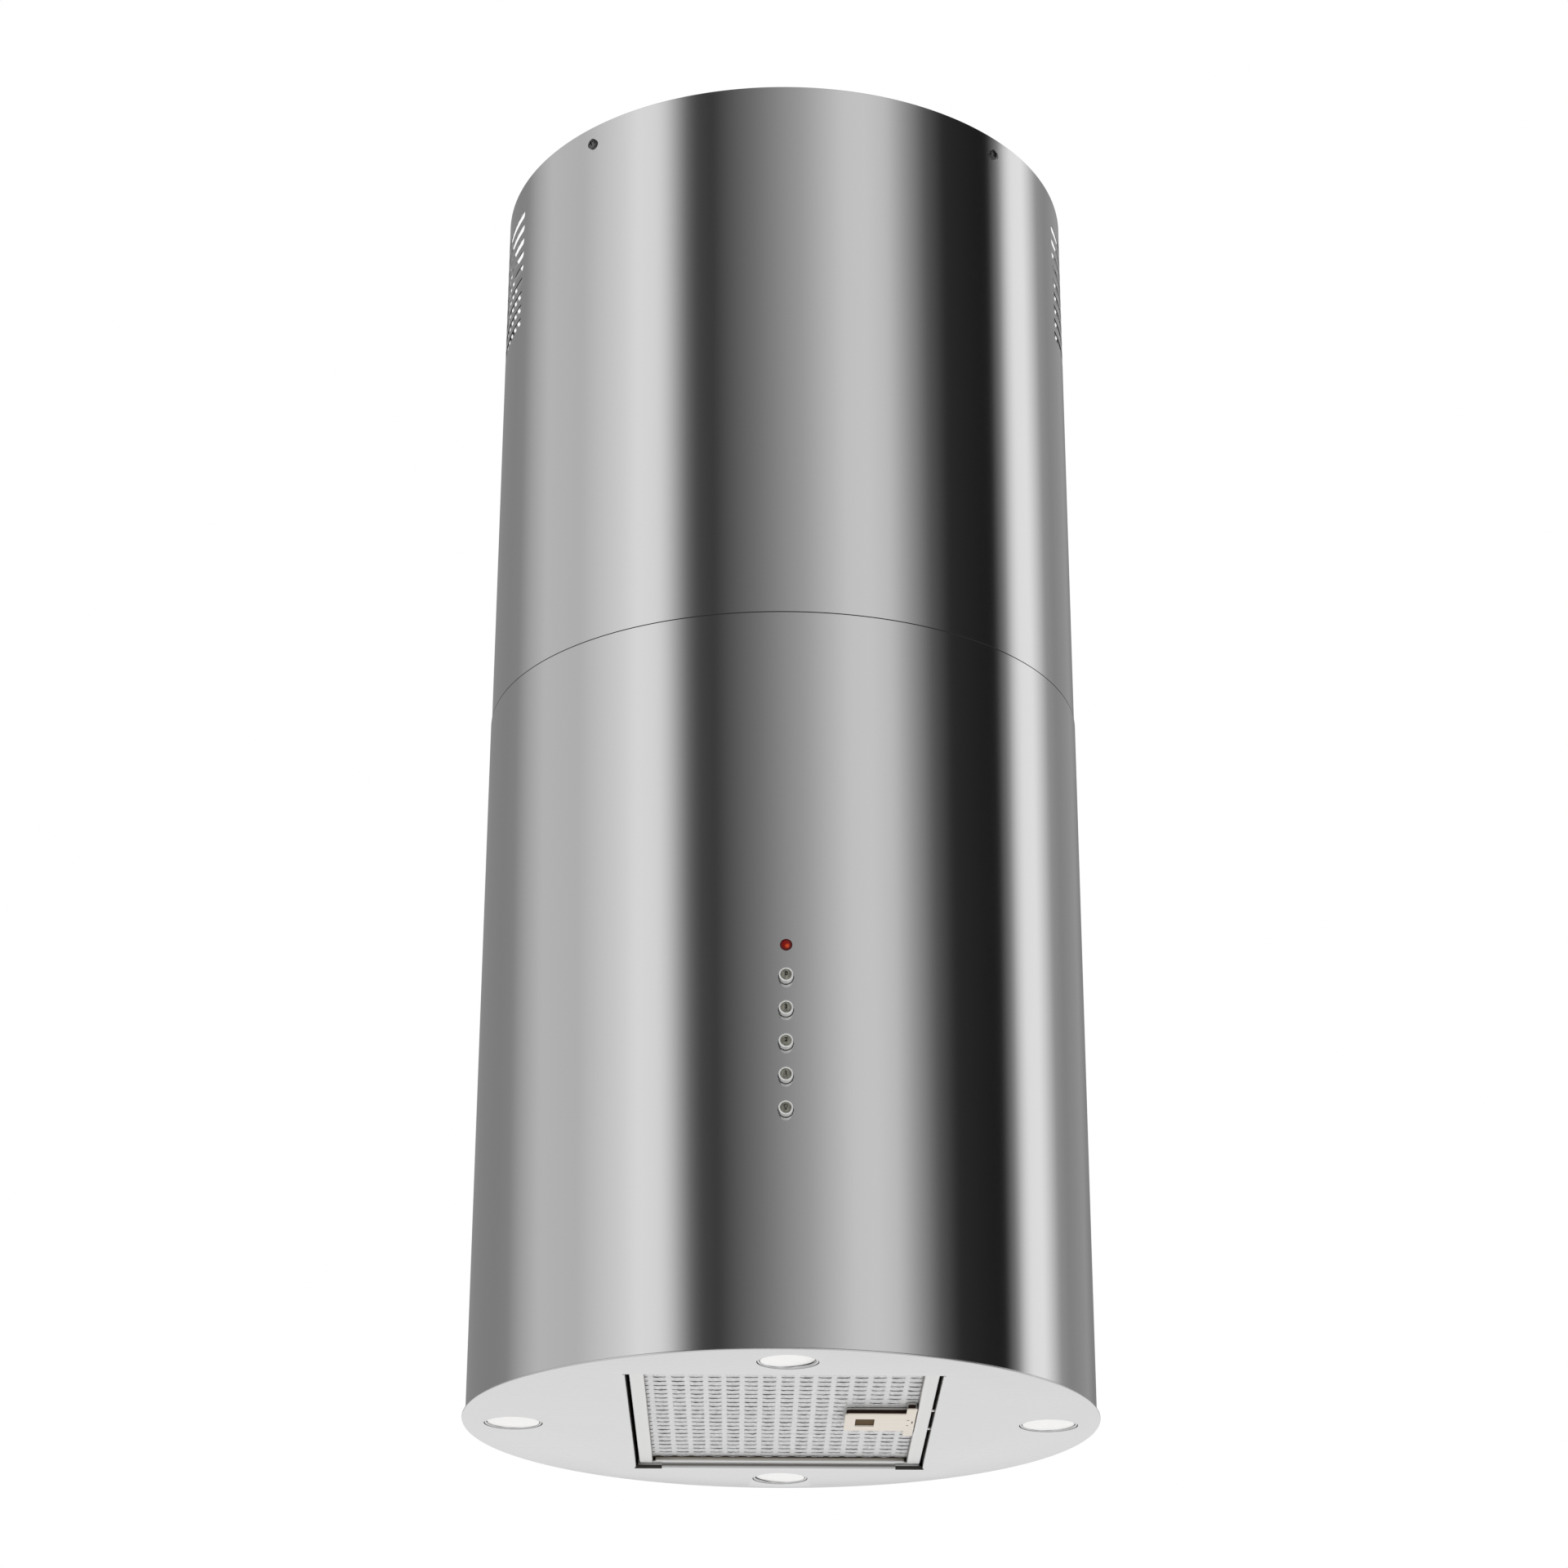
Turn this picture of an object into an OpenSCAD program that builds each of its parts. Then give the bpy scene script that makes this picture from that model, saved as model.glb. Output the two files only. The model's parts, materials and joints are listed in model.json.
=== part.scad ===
// Island range hood: a telescoping steel tube that hangs from the ceiling over a hob.
// The origin is the centre of the ceiling plate's top face. Z points up, the controls face -Y.
// Everything that moves with the hood is drawn from its bottom face (z = 0) and then hung by hang().

/* [Tubes] */
// Outer diameter of the lower tube
tube_d = 380; // [376:1:400]
// Sheet thickness of both tubes
tube_wall = 0.6; // [0.5:0.1:0.8]
// Radial gap between the two tubes
tube_gap = 0.3; // [0.2:0.05:0.4]
// Height of the lower tube above the bottom plate
lower_tube_h = 450.5; // [440:0.5:480]
// Height of the whole hood as it hangs, ceiling to bottom face
hood_height = 826; // [800:1:850]
// Length of the upper tube that is hidden in the lower one
tube_overlap = 110; // [100:1:125]
// Angle by which the upper tube is turned on the ceiling plate
upper_turn = 2.5; // [0:0.5:3]

/* [Vents] */
// Number of slots above each other
vent_rows = 9; // [5:1:12]
// Distance between two rows of slots
vent_pitch = 10.25; // [8:0.25:14]
// Height of one slot
vent_h = 4; // [3:0.5:5]
// Distance from the ceiling to the middle of the top row
vent_drop = 24; // [20:1:40]
// Distance along Y from the tube's side to the far end of a slot
vent_reach = 67; // [50:1:80]
// Width of the web between the two columns
vent_web = 10; // [6:1:20]

/* [Ceiling plate] */
// Thickness of the ceiling plate
ceiling_t = 2.5; // [2:0.5:4]
// Width of plate left beside the screw tabs at its two flat sides
flat_margin = 2; // [1:0.5:4]
// Diameter of the duct hole
duct_hole_d = 160; // [155:1:165]
// Spacing of the four ceiling anchors, both ways
anchor_pitch = 200; // [190:1:205]
// Diameter of the anchor holes
anchor_d = 8.5; // [6.5:0.5:10]
// Depth of the tube screws below the ceiling
tube_screw_drop = 13; // [10:1:16]
// Width of the screw tabs
tab_w = 16; // [12:1:18]
// Bore of the cable grommet
cable_d = 9; // [7:0.5:10]

/* [Frame rails] */
// Gap between the frame's outer edges and the upper tube
frame_gap = 7.5; // [5:0.5:9]
// Leg width of the angle rails
rail_leg = 25; // [20:1:28]
// Sheet thickness of the rails
rail_t = 1.5; // [1.2:0.1:2]
// Gap between nested rails
rail_gap = 0.3; // [0.2:0.05:0.4]
// Height above the bottom face at which the upper rails end
upper_rail_end = 420; // [400:1:430]
// Height above the bottom face at which the lower rails end
lower_rail_end = 560; // [550:1:580]
// Travel upwards from the delivered height
raise_travel = 70; // [40:1:70]
// Travel downwards from the delivered height
lower_travel = 80; // [40:1:80]
// Height of the clamp screws above the bottom face
clamp_z = 530; // [515:1:535]

/* [Bottom plate] */
// Sheet thickness of the bottom plate
plate_t = 1.2; // [1:0.1:1.5]
// Overhang of the bottom plate past the tube
plate_lip = 2.1; // [1:0.1:3]
// Distance from the tube's face to the filter opening at the sides
opening_side = 98.5; // [96:0.5:100]
// Distance from the tube's face to the filter opening at front and back
opening_end = 61.1; // [60.5:0.1:63]
// Height of the upturned flanges
flange_h = 10; // [8:0.5:11]
// Length of the relief at each corner of the opening
relief_l = 18; // [14:1:20]
// Depth of the relief at each corner of the opening
relief_d = 1.1; // [0.5:0.1:1.5]
// Distance from the tube's face to the middle of a lamp
lamp_inset = 28.5; // [28:0.5:30]
// Diameter of the lamp holes
lamp_hole_d = 35.5; // [34:0.5:36]

/* [Grease filter] */
// Gap between the filter and the opening at the sides
filter_gap_x = 3; // [2:0.5:3.5]
// Gap between the filter and the opening at front and back
filter_gap_y = 0.9; // [0.5:0.1:1.5]
// Recess of the filter above the plate's bottom face
filter_z = 2; // [1.5:0.5:2.5]
// Thickness of the filter
filter_t = 9.5; // [9:0.5:10]
// Visible width of the filter's rails
filter_rail = 9; // [8:0.5:9.5]
// Height of the inner lip of the rails
filter_lip_h = 3.7; // [3.4:0.1:3.9]
// Sheet thickness of the filter's parts
filter_sheet = 0.6; // [0.5:0.1:0.7]
// Distance between two columns
slot_pitch_x = 10.65; // [9:0.05:10.7]
// Distance between two rows
slot_pitch_y = 10.85; // [9:0.05:10.9]
// Length of one slot
slot_l = 7.9; // [6:0.1:8.2]
// Width of one slot
slot_w = 1.6; // [1.2:0.1:2.5]

/* [Filter latch] */
// Length of the handle
handle_l = 41; // [38:1:44]
// Width of the handle
handle_w = 45; // [42:1:48]
// Length of the handle's cross piece
handle_head_l = 73; // [70:1:80]
// Width of the handle's cross piece
handle_head_w = 6; // [6:0.5:7]
// Distance of each latch tongue from the middle
tongue_y = 25; // [24:0.5:30]
// Travel of the latch
latch_travel = 3; // [2:0.1:3]

/* [Lamps] */
// Gap between a lamp's bezel and its hole
bezel_gap = 0.35; // [0.2:0.05:0.5]
// Width of the bezel ring
bezel_w = 3; // [2.5:0.1:3.5]
// Height of a lamp body
lamp_body_h = 17.5; // [15:0.5:20]

/* [Controls] */
// Height of the lowest button above the bottom face
button_z = 138.5; // [135:0.5:142]
// Distance between two buttons
button_pitch = 20; // [18:0.5:20]
// Diameter of a button
button_d = 9; // [8:0.5:9.5]
// Length of a button that stands out of the tube
button_out = 6; // [5:0.5:7]
// Travel of a button
button_travel = 4; // [3:0.5:4]
// Diameter of the button holes in the tube
button_hole_d = 10.5; // [10.5:0.1:11]
// Diameter of the indicator lens
lens_d = 7; // [6:0.5:8]
// Width of the switch block
switch_w = 26; // [22:1:30]

/* [Blower] */
// Height of the chassis deck above the bottom face
deck_z = 60; // [55:1:62]
// Thickness of the chassis deck
deck_t = 1.5; // [1.2:0.1:2]
// Half the width of the scroll housing
scroll_half = 78; // [76:1:79]
// Outer radius of the scroll
scroll_r = 98; // [96:1:100]
// Wall of the scroll
scroll_wall = 2.5; // [2:0.5:3]
// Offset of the fan axis towards the back
fan_y = 12; // [11:1:14]
// Height of the fan axis above the deck
fan_rise = 110.5; // [108:0.5:114]
// Outer radius of the impeller
impeller_r = 68; // [64:1:70]
// Number of impeller blades
blades = 24; // [16:1:30]
// Radius of the scroll's side inlets
inlet_r = 58; // [52:1:60]
// Height of the scroll's outlet above the deck
outlet_rise = 238.5; // [236:0.5:242]
// Outer diameter of the outlet collar
collar_d = 149; // [147:0.5:150]
// Height of the outlet collar
collar_h = 55; // [50:1:60]
// Diameter of the motor
motor_d = 71; // [66:1:74]
// Diameter of the motor shaft
shaft_d = 8; // [6:0.5:9]

/* [Fits] */
// Radial clearance of turning and sliding pins
run_gap = 0.06; // [0.04:0.01:0.1]
// Radial clearance round a screw or a plugged-in part
fit_gap = 0.1; // [0.05:0.05:0.2]
// Clearance between parts that only pass each other
pass_gap = 0.3; // [0.2:0.05:0.4]

/* [Hidden] */
$fn = 96;
eps = 0.5;
lower_r = tube_d / 2;
lower_in_r = lower_r - tube_wall;
upper_r = lower_in_r - tube_gap;
upper_in_r = upper_r - tube_wall;
seam_z = plate_t + lower_tube_h;
upper_tube_h = hood_height - seam_z + tube_overlap;

tab_r = upper_in_r - pass_gap;
tab_t = 2;
tab_h = 22;
tab_half_angle = asin(tab_w / 2 / tab_r);
ceiling_half = tab_r * cos(45 - upper_turn - tab_half_angle) + flat_margin;
cable_hole_edge = 3;
cable_y = duct_hole_d / 2 + 25;
m4_r = 2;
m4_head_r = 3.5;
m4_head_h = 2.2;
m5_r = 2.5;
m5_head_r = 4.4;
m5_head_h = 2.8;

rail_ear_h = 30;
rail_ear_t = 1.5;
rail_ear_w = 18;
rail_ear_screw = rail_ear_h / 2 + 4;
screw_end = 6;
frame_half = (upper_in_r - frame_gap) / sqrt(2);
inner_half = frame_half - rail_t - rail_gap;
ear_in = frame_half - rail_t;
ear_low_in = inner_half - rail_t;
leg_mid = frame_half - (rail_leg + rail_t + 0.5) / 2;
clamp_slot_end = m5_r + pass_gap;

ring_gap = 0.2;
ring_t = 1;
ring_h = 12;
ring_r = lower_in_r - ring_gap;
skirt_r = ring_r - ring_t - pass_gap;
skirt_t = 1;
deck_top = deck_z + deck_t;
window_x0 = scroll_half + 6;
window_x1 = ear_low_in + 6;
window_y = leg_mid - rail_ear_w / 2 - 7.5;

opening_half_x = lower_r - opening_side;
opening_half_y = lower_r - opening_end;
lamp_circle_r = lower_r - lamp_inset;
filter_half_x = opening_half_x - filter_gap_x;
filter_half_y = opening_half_y - filter_gap_y;
filter_in_x = filter_half_x - filter_rail;
filter_in_y = filter_half_y - filter_rail;
filter_top = filter_z + filter_t;
sheet_z = filter_z + filter_lip_h;
sheet_half_x = filter_half_x - filter_sheet - fit_gap;
sheet_half_y = filter_half_y - filter_sheet - fit_gap;
slot_columns = floor(2 * filter_in_x / slot_pitch_x + 0.5);
slot_rows = floor(2 * filter_in_y / slot_pitch_y + 0.5);
pattern_x = 3;
pattern_y = 4.3;
pivot_inset = 6;
pivot_rise = 5.5;
pivot_x = -(filter_half_x - pivot_inset);
pivot_z = filter_z + pivot_rise;
pivot_r = 2;
pivot_collar_r = 3;
pivot_collar_t = 1;
bracket_t = 1.2;
bracket_w = 12;
bracket_foot = 9;
bracket_gap = 2.5;
bracket_y = filter_half_y + pivot_collar_t + bracket_gap;
bracket_rim = 3;
bracket_h = pivot_z + pivot_r + bracket_rim;

handle_z = 1.2;
handle_t = 0.8;
handle_x1 = filter_in_x - 0.3;
handle_x0 = handle_x1 - handle_l;
handle_corner = 3;
handle_inset = 2;
window_l = 11.6;
window_w = 20;
window_x = handle_x0 + handle_inset + handle_t + latch_travel + 2 * pass_gap;
latch_z = handle_z + handle_t + pass_gap;
latch_t = 1.9;
latch_bar_w = 1.5;
latch_half_w = 15;
tongue_w = 4;
tongue_t = 1.2;
tongue_z = latch_z + 0.7;
tongue_end = opening_half_x - pass_gap;

bezel_r = lamp_hole_d / 2 - bezel_gap;
lamp_lens_r = bezel_r - bezel_w - fit_gap;
bezel_h = 5;
lamp_lens_z = 1;
lamp_lens_t = 3;
lamp_lens_rise = 1.2;
dome_sides = 480;
lamp_top = bezel_h + lamp_body_h;
clip_t = 0.8;
clip_in_r = lamp_hole_d / 2;
clip_flange_r = clip_in_r + 6;
plug_r = 5;
plug_h = 4;

button_count = 5;
guide_wall = 0.5;
guide_bore_r = button_d / 2 + run_gap;
guide_r = guide_bore_r + guide_wall;
guide_front = lower_r - 0.4;
block_gap = 3.4;
block_l = 14;
guide_l = 4.7;
block_front = lower_in_r - block_gap;
block_back = block_front - block_l;
chamber_front = block_front - guide_l;
lens_l = 4;
stop_r = guide_bore_r + 1.3;
stop_t = 1.4;
chamber_r = stop_r + pass_gap;
stem_r = 2;
stem_in = 0.4;
cover_t = 8;
block_margin = 10;
block_z0 = button_z - block_margin;
lens_z = button_z + button_count * button_pitch;
block_z1 = lens_z + block_margin - 1;
lens_out = 0.8;

box_wall = 1.5;
box_half_x = 45;
box_inset = 13.4;
box_y0 = -(lower_in_r - box_inset);
box_l = 46;
box_h = 40;
board_t = 1.6;
board_rise = 8;
box_margin = 3;
board_w = 2 * (box_half_x - box_margin);
board_l = box_l - 2 * box_margin;
relay_h = 14;
capacitor_r = 15;
capacitor_h = 50;
ribbon_t = 1.2;
ribbon_w = 12;
ribbon_y = -(block_back - cover_t / 2);

fan_z = deck_top + fan_rise;
outlet_top = deck_top + outlet_rise;
outlet_y0 = fan_y - scroll_r;
collar_r = collar_d / 2;
collar_t = 1.2;
outlet_y1 = max(collar_r + scroll_wall, collar_r + 1.5);
foot_half = 90;
foot_t = 3;
rib_y = 62;
rib_t = 3;
rib_h = fan_rise - sqrt(scroll_r * scroll_r - rib_y * rib_y) + 4;
flange_out = 6;
flange_t = 3;
ear_r = 7;
ear_t = 6;
ear_out = 4.5;
inlet_ring_in = inlet_r - 8;
inlet_ring_out = inlet_r + 8;
guard_t = 2.5;
impeller_half = scroll_half - scroll_wall - 11.5;
blade_l = 12;
blade_t = 1;
hub_r = 11;
motor_front = 12;
motor_r = motor_d / 2;
motor_flange_r = motor_r + 8;
motor_back = scroll_half + guard_t + 12;
shaft_r = shaft_d / 2;
shaft_front = -18;
shaft_back = scroll_half - 10;
nut_h = 4;

collar_z = outlet_top + 2;
pin_z = collar_z + 10;
damper_pin_r = 1.5;
knuckle_r = 2.6;
flap_t = 1;
flap_r = collar_r - collar_t - 0.8;
ledge_w = 2.6;
ledge_t = 1.5;
knuckle_l = 24;

loom_z = 45;
loom_r = 2.5;
driver_half_x = 38;
driver_l = 34;
driver_h = 28;
terminal_pitch = 12;
terminal_w = 18;
terminal_h = 16;
driver_y1 = lamp_circle_r - loom_r - 3;
driver_feed_z = deck_top + 14;

lead_r = 3;
lead_sides = 8;
lead_points = [
    [45, -150, 85], [54, -150, 85], [66, -147, 86], [77, -140, 88], [86, -129, 93], [91, -115, 101],
    [93, -100, 112], [95, -84, 124], [97, -68, 136], [99, -52, 147], [101, -36, 157], [103, -21, 166],
    [104, -8, 172], [103, 2, 175], [98, 6, 176], [92.5, 7, 176]
];

LAMPS = ["right", "rear", "left", "front"];

// ---- placing ----

module hang() {
    translate([0, 0, -hood_height]) children();
}

// Four copies, one in each corner of the frame, as mirror images.
module corners() {
    for (x = [0, 1], y = [0, 1]) mirror([x, 0, 0]) mirror([0, y, 0]) children();
}

// Along X: a 2D outline in (Y, Z) drawn out from x0 to x1.
module along_x(x0, x1) {
    translate([x0, 0, 0]) rotate([90, 0, 90]) linear_extrude(x1 - x0) children();
}

module rod_x(x0, x1, r) {
    translate([x0, 0, 0]) rotate([0, 90, 0]) cylinder(h = x1 - x0, r = r);
}

module rod_y(y0, y1, r) {
    translate([0, y0, 0]) rotate([-90, 0, 0]) cylinder(h = y1 - y0, r = r);
}

module tube(r_out, r_in, h) {
    difference() {
        cylinder(h = h, r = r_out);
        translate([0, 0, -eps]) cylinder(h = h + 2 * eps, r = r_in);
    }
}

module box(half_x, half_y, z0, z1) {
    translate([-half_x, -half_y, z0]) cube([2 * half_x, 2 * half_y, z1 - z0]);
}

// A slot with round ends, lying along the first axis.
module slot_2d(l, w) {
    translate([-(l - w) / 2, -w / 2]) square([l - w, w]);
    for (s = [-1, 1]) translate([s * (l - w) / 2, 0]) circle(r = w / 2);
}

// ---- ceiling frame ----

module tube_screw_places() {
    rotate([0, 0, upper_turn]) for (a = [45:90:315]) rotate([0, 0, a]) children();
}

module ceiling_plate() {
    color("silver") {
        difference() {
            translate([0, 0, -ceiling_t]) intersection() {
                cylinder(h = ceiling_t, r = tab_r);
                box(ceiling_half, tab_r, 0, ceiling_t);
            }
            translate([0, 0, -ceiling_t - eps]) cylinder(h = ceiling_t + 2 * eps, r = duct_hole_d / 2);
            corners() translate([anchor_pitch / 2, anchor_pitch / 2, -ceiling_t - eps])
                cylinder(h = ceiling_t + 2 * eps, r = anchor_d / 2);
            translate([0, cable_y, -ceiling_t - eps])
                cylinder(h = ceiling_t + 2 * eps, r = cable_d / 2 + cable_hole_edge);
        }
        tube_screw_places() difference() {
            intersection() {
                translate([0, 0, -ceiling_t - tab_h]) tube(tab_r, tab_r - tab_t, tab_h);
                translate([tab_r - 10, -tab_w / 2, -ceiling_t - tab_h]) cube([20, tab_w, tab_h]);
            }
            translate([0, 0, -tube_screw_drop]) rod_x(tab_r - 10, tab_r + 10, m4_r + fit_gap);
        }
        corners() difference() {
            translate([ear_in - rail_ear_t, leg_mid - rail_ear_w / 2, -ceiling_t - rail_ear_h])
                cube([rail_ear_t, rail_ear_w, rail_ear_h]);
            translate([0, leg_mid, -ceiling_t - rail_ear_screw])
                rod_x(ear_in - 10, ear_in + 10, m5_r + fit_gap);
        }
    }
}

module cable_grommet() {
    rim_t = 2;
    rim_w = 2.5;
    color("#2b2b2b") translate([0, cable_y, -ceiling_t - rim_t]) difference() {
        union() {
            cylinder(h = rim_t, r = cable_d / 2 + cable_hole_edge + rim_w);
            cylinder(h = rim_t + ceiling_t, r = cable_d / 2 + cable_hole_edge - fit_gap);
        }
        translate([0, 0, -eps]) cylinder(h = ceiling_t + rim_t + 2 * eps, r = cable_d / 2);
    }
}

// An angle rail in the corner (half, half), its legs turned inwards.
module angle_rail(half, z0, z1) {
    difference() {
        translate([half - rail_leg, half - rail_leg, z0]) cube([rail_leg, rail_leg, z1 - z0]);
        translate([half - rail_leg - eps, half - rail_leg - eps, z0 - eps])
            cube([rail_leg - rail_t + eps, rail_leg - rail_t + eps, z1 - z0 + 2 * eps]);
    }
}

module upper_rails() {
    slot_top = clamp_z - hood_height + raise_travel;
    slot_bottom = clamp_z - hood_height - lower_travel;
    slot_l = slot_top - slot_bottom + 2 * clamp_slot_end;
    color("silver") corners() difference() {
        angle_rail(frame_half, upper_rail_end - hood_height, -ceiling_t);
        along_x(frame_half - rail_t - eps, frame_half + eps)
            translate([leg_mid, (slot_top + slot_bottom) / 2]) rotate(90) slot_2d(slot_l, 2 * clamp_slot_end);
        translate([0, leg_mid, -ceiling_t - rail_ear_screw])
            rod_x(frame_half - 10, frame_half + 10, m5_r + fit_gap);
    }
}

// A screw along +X: its head sits outside seat_x and its shank reaches in to end_x, with a nut.
module frame_screw(seat_x, nut_x, end_x) {
    rod_x(seat_x, seat_x + m5_head_h, m5_head_r);
    rod_x(end_x, seat_x + eps, m5_r);
    difference() {
        rod_x(nut_x - 4, nut_x, m5_head_r);
        rod_x(nut_x - 4 - eps, nut_x + eps, m5_r - 0.05);
    }
}

module upper_frame_screws() {
    color("gainsboro") corners() translate([0, leg_mid, -ceiling_t - rail_ear_screw])
        frame_screw(frame_half, ear_in - rail_ear_t, ear_in - rail_ear_t - screw_end);
}

module upper_tube() {
    color("lightgray") rotate([0, 0, upper_turn]) difference() {
        translate([0, 0, -upper_tube_h]) tube(upper_r, upper_in_r, upper_tube_h);
        slot_len = vent_reach - vent_web / 2;
        for (row = [0:vent_rows - 1], s = [-1, 1])
            along_x(-tube_d, tube_d)
                translate([s * (vent_reach + vent_web / 2) / 2, -vent_drop - row * vent_pitch])
                    slot_2d(slot_len, vent_h);
        for (a = [45:90:315]) rotate([0, 0, a]) translate([0, 0, -tube_screw_drop])
            rod_x(upper_in_r - 5, upper_r + 5, m4_r + fit_gap);
    }
}

module tube_screws() {
    color("gainsboro") tube_screw_places() translate([0, 0, -tube_screw_drop]) difference() {
        union() {
            rod_x(upper_r, upper_r + m4_head_h, m4_head_r);
            rod_x(tab_r - tab_t - 4, upper_r + eps, m4_r);
        }
        for (t = [0, 90]) translate([upper_r + m4_head_h - 0.5, 0, 0]) rotate([t, 0, 0])
            translate([-0.9, -2.2, -0.4]) cube([3, 4.4, 0.8]);
    }
}

// ---- shell of the hood ----

module front_hole(z, r) {
    translate([0, 0, z]) rod_y(-lower_r - eps - 5, -lower_in_r + 10, r);
}

module lower_tube() {
    color("lightgray") hang() difference() {
        translate([0, 0, plate_t]) tube(lower_r, lower_in_r, lower_tube_h);
        for (i = [0:button_count - 1]) front_hole(button_z + i * button_pitch, button_hole_d / 2);
        front_hole(lens_z, lens_d / 2 + 0.2);
    }
}

module lamp_places() {
    for (i = [0:3]) rotate([0, 0, 90 * i]) translate([lamp_circle_r, 0, 0]) children();
}

module bottom_plate() {
    color("whitesmoke") hang() {
        difference() {
            union() {
                cylinder(h = plate_t, r = plate_r());
                translate([0, 0, plate_t]) tube(ring_r, ring_r - ring_t, ring_h);
                box(opening_half_x + plate_t, opening_half_y - relief_l, 0, flange_h);
                box(opening_half_x - relief_l, opening_half_y + plate_t, 0, flange_h);
            }
            box(opening_half_x, opening_half_y, -eps, flange_h + eps);
            for (s = [-1, 1]) translate([s * (opening_half_x - relief_l / 2), 0, 0])
                box(relief_l / 2, opening_half_y + relief_d, -eps, plate_t + eps);
            lamp_places() translate([0, 0, -eps]) cylinder(h = plate_t + 2 * eps, r = lamp_hole_d / 2);
            for (s = [-1, 1]) translate([opening_half_x - eps, s * tongue_y - tongue_w, tongue_z - 0.6])
                cube([plate_t + 2 * eps, 2 * tongue_w, tongue_t + 1.2]);
        }
    }
}

function plate_r() = lower_r + plate_lip;

module filter_brackets() {
    color("silver") hang() for (s = [0, 1]) mirror([0, s, 0]) difference() {
        union() {
            translate([pivot_x - bracket_w / 2, bracket_y, plate_t])
                cube([bracket_w, bracket_t, bracket_h - plate_t]);
            translate([pivot_x - bracket_w / 2, bracket_y, plate_t])
                cube([bracket_w, bracket_foot, bracket_t]);
        }
        translate([pivot_x, 0, pivot_z])
            rod_y(bracket_y - eps, bracket_y + bracket_t + eps, pivot_r + run_gap);
    }
}

module chassis() {
    color("silver") hang() {
        difference() {
            union() {
                translate([0, 0, plate_t]) tube(skirt_r, skirt_r - skirt_t, deck_z - plate_t + deck_t / 2);
                translate([0, 0, deck_z]) cylinder(h = deck_t, r = skirt_r);
            }
            for (s = [-1, 1]) translate([s * (window_x0 + window_x1) / 2, 0, 0])
                box((window_x1 - window_x0) / 2, window_y, deck_z - eps, deck_top + eps);
            translate([0, lamp_circle_r, deck_z - eps]) cylinder(h = deck_t + 2 * eps, r = loom_r + 1.5);
        }
        corners() difference() {
            translate([ear_low_in - rail_ear_t, leg_mid - rail_ear_w / 2, deck_top - deck_t / 2])
                cube([rail_ear_t, rail_ear_w, rail_ear_h]);
            translate([0, leg_mid, deck_top + rail_ear_screw])
                rod_x(ear_low_in - 10, ear_low_in + 10, m5_r + fit_gap);
        }
    }
}

module lower_rails() {
    color("silver") hang() corners() difference() {
        angle_rail(inner_half, deck_top, lower_rail_end);
        for (z = [deck_top + rail_ear_screw, clamp_z]) translate([0, leg_mid, z])
            rod_x(ear_low_in - 10, inner_half + 10, m5_r + fit_gap);
    }
}

module lower_frame_screws() {
    color("gainsboro") hang() corners() translate([0, leg_mid, deck_top + rail_ear_screw])
        frame_screw(inner_half, ear_low_in - rail_ear_t, ear_low_in - rail_ear_t - screw_end);
}

module frame_clamp_screws() {
    color("gainsboro") hang() corners() translate([0, leg_mid, clamp_z])
        frame_screw(frame_half + pass_gap, ear_low_in, ear_low_in - screw_end);
}

// ---- blower ----

module scroll_outline() {
    translate([fan_y, fan_z]) circle(r = scroll_r);
    translate([outlet_y0, fan_z]) square([outlet_y1 - outlet_y0, outlet_top - fan_z]);
    translate([fan_y - foot_half, deck_top]) square([2 * foot_half, foot_t]);
    for (s = [-1, 1]) translate([fan_y + s * rib_y - rib_t / 2, deck_top]) square([rib_t, rib_h]);
}

module scroll_cavity() {
    translate([fan_y, fan_z]) circle(r = scroll_r - scroll_wall);
    translate([outlet_y0 + scroll_wall, fan_z])
        square([outlet_y1 - outlet_y0 - 2 * scroll_wall, outlet_top - fan_z + eps]);
}

module scroll_ear_places() {
    translate([fan_y, fan_z]) for (a = [200, 340, 30])
        rotate(a) translate([scroll_r + ear_out, 0]) children();
    translate([outlet_y0 - ear_out, outlet_top - 35]) children();
}

module scroll_half_shell() {
    difference() {
        union() {
            along_x(0, scroll_half) scroll_outline();
            along_x(0, ear_t) scroll_ear_places() circle(r = ear_r);
            translate([0, outlet_y0 - flange_out, outlet_top - flange_t])
                cube([scroll_half + flange_out, outlet_y1 - outlet_y0 + 2 * flange_out, flange_t]);
        }
        along_x(-eps, scroll_half - scroll_wall) scroll_cavity();
        along_x(scroll_half - scroll_wall - eps, scroll_half + eps)
            translate([fan_y, fan_z]) circle(r = inlet_r);
        along_x(-eps, ear_t + eps) scroll_ear_places() circle(r = m4_r + fit_gap);
        guard_screw_places() rod_x(scroll_half - 10, scroll_half + 5, m4_r + fit_gap);
        collar_screw_places() translate([0, 0, outlet_top - 10]) cylinder(h = 20, r = m4_r + fit_gap);
    }
}

module guard_screw_places() {
    translate([0, fan_y, fan_z]) for (a = [90, 210, 330]) rotate([a, 0, 0])
        translate([0, inlet_ring_out - 4, 0]) children();
}

module collar_screw_places() {
    for (x = [-1, 1], y = [outlet_y0 - 3, outlet_y1 + 3])
        translate([x * (scroll_half - 12), y, 0]) children();
}

module scroll_right() {
    color("dimgray") hang() scroll_half_shell();
}

module scroll_left() {
    color("dimgray") hang() mirror([1, 0, 0]) scroll_half_shell();
}

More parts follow.
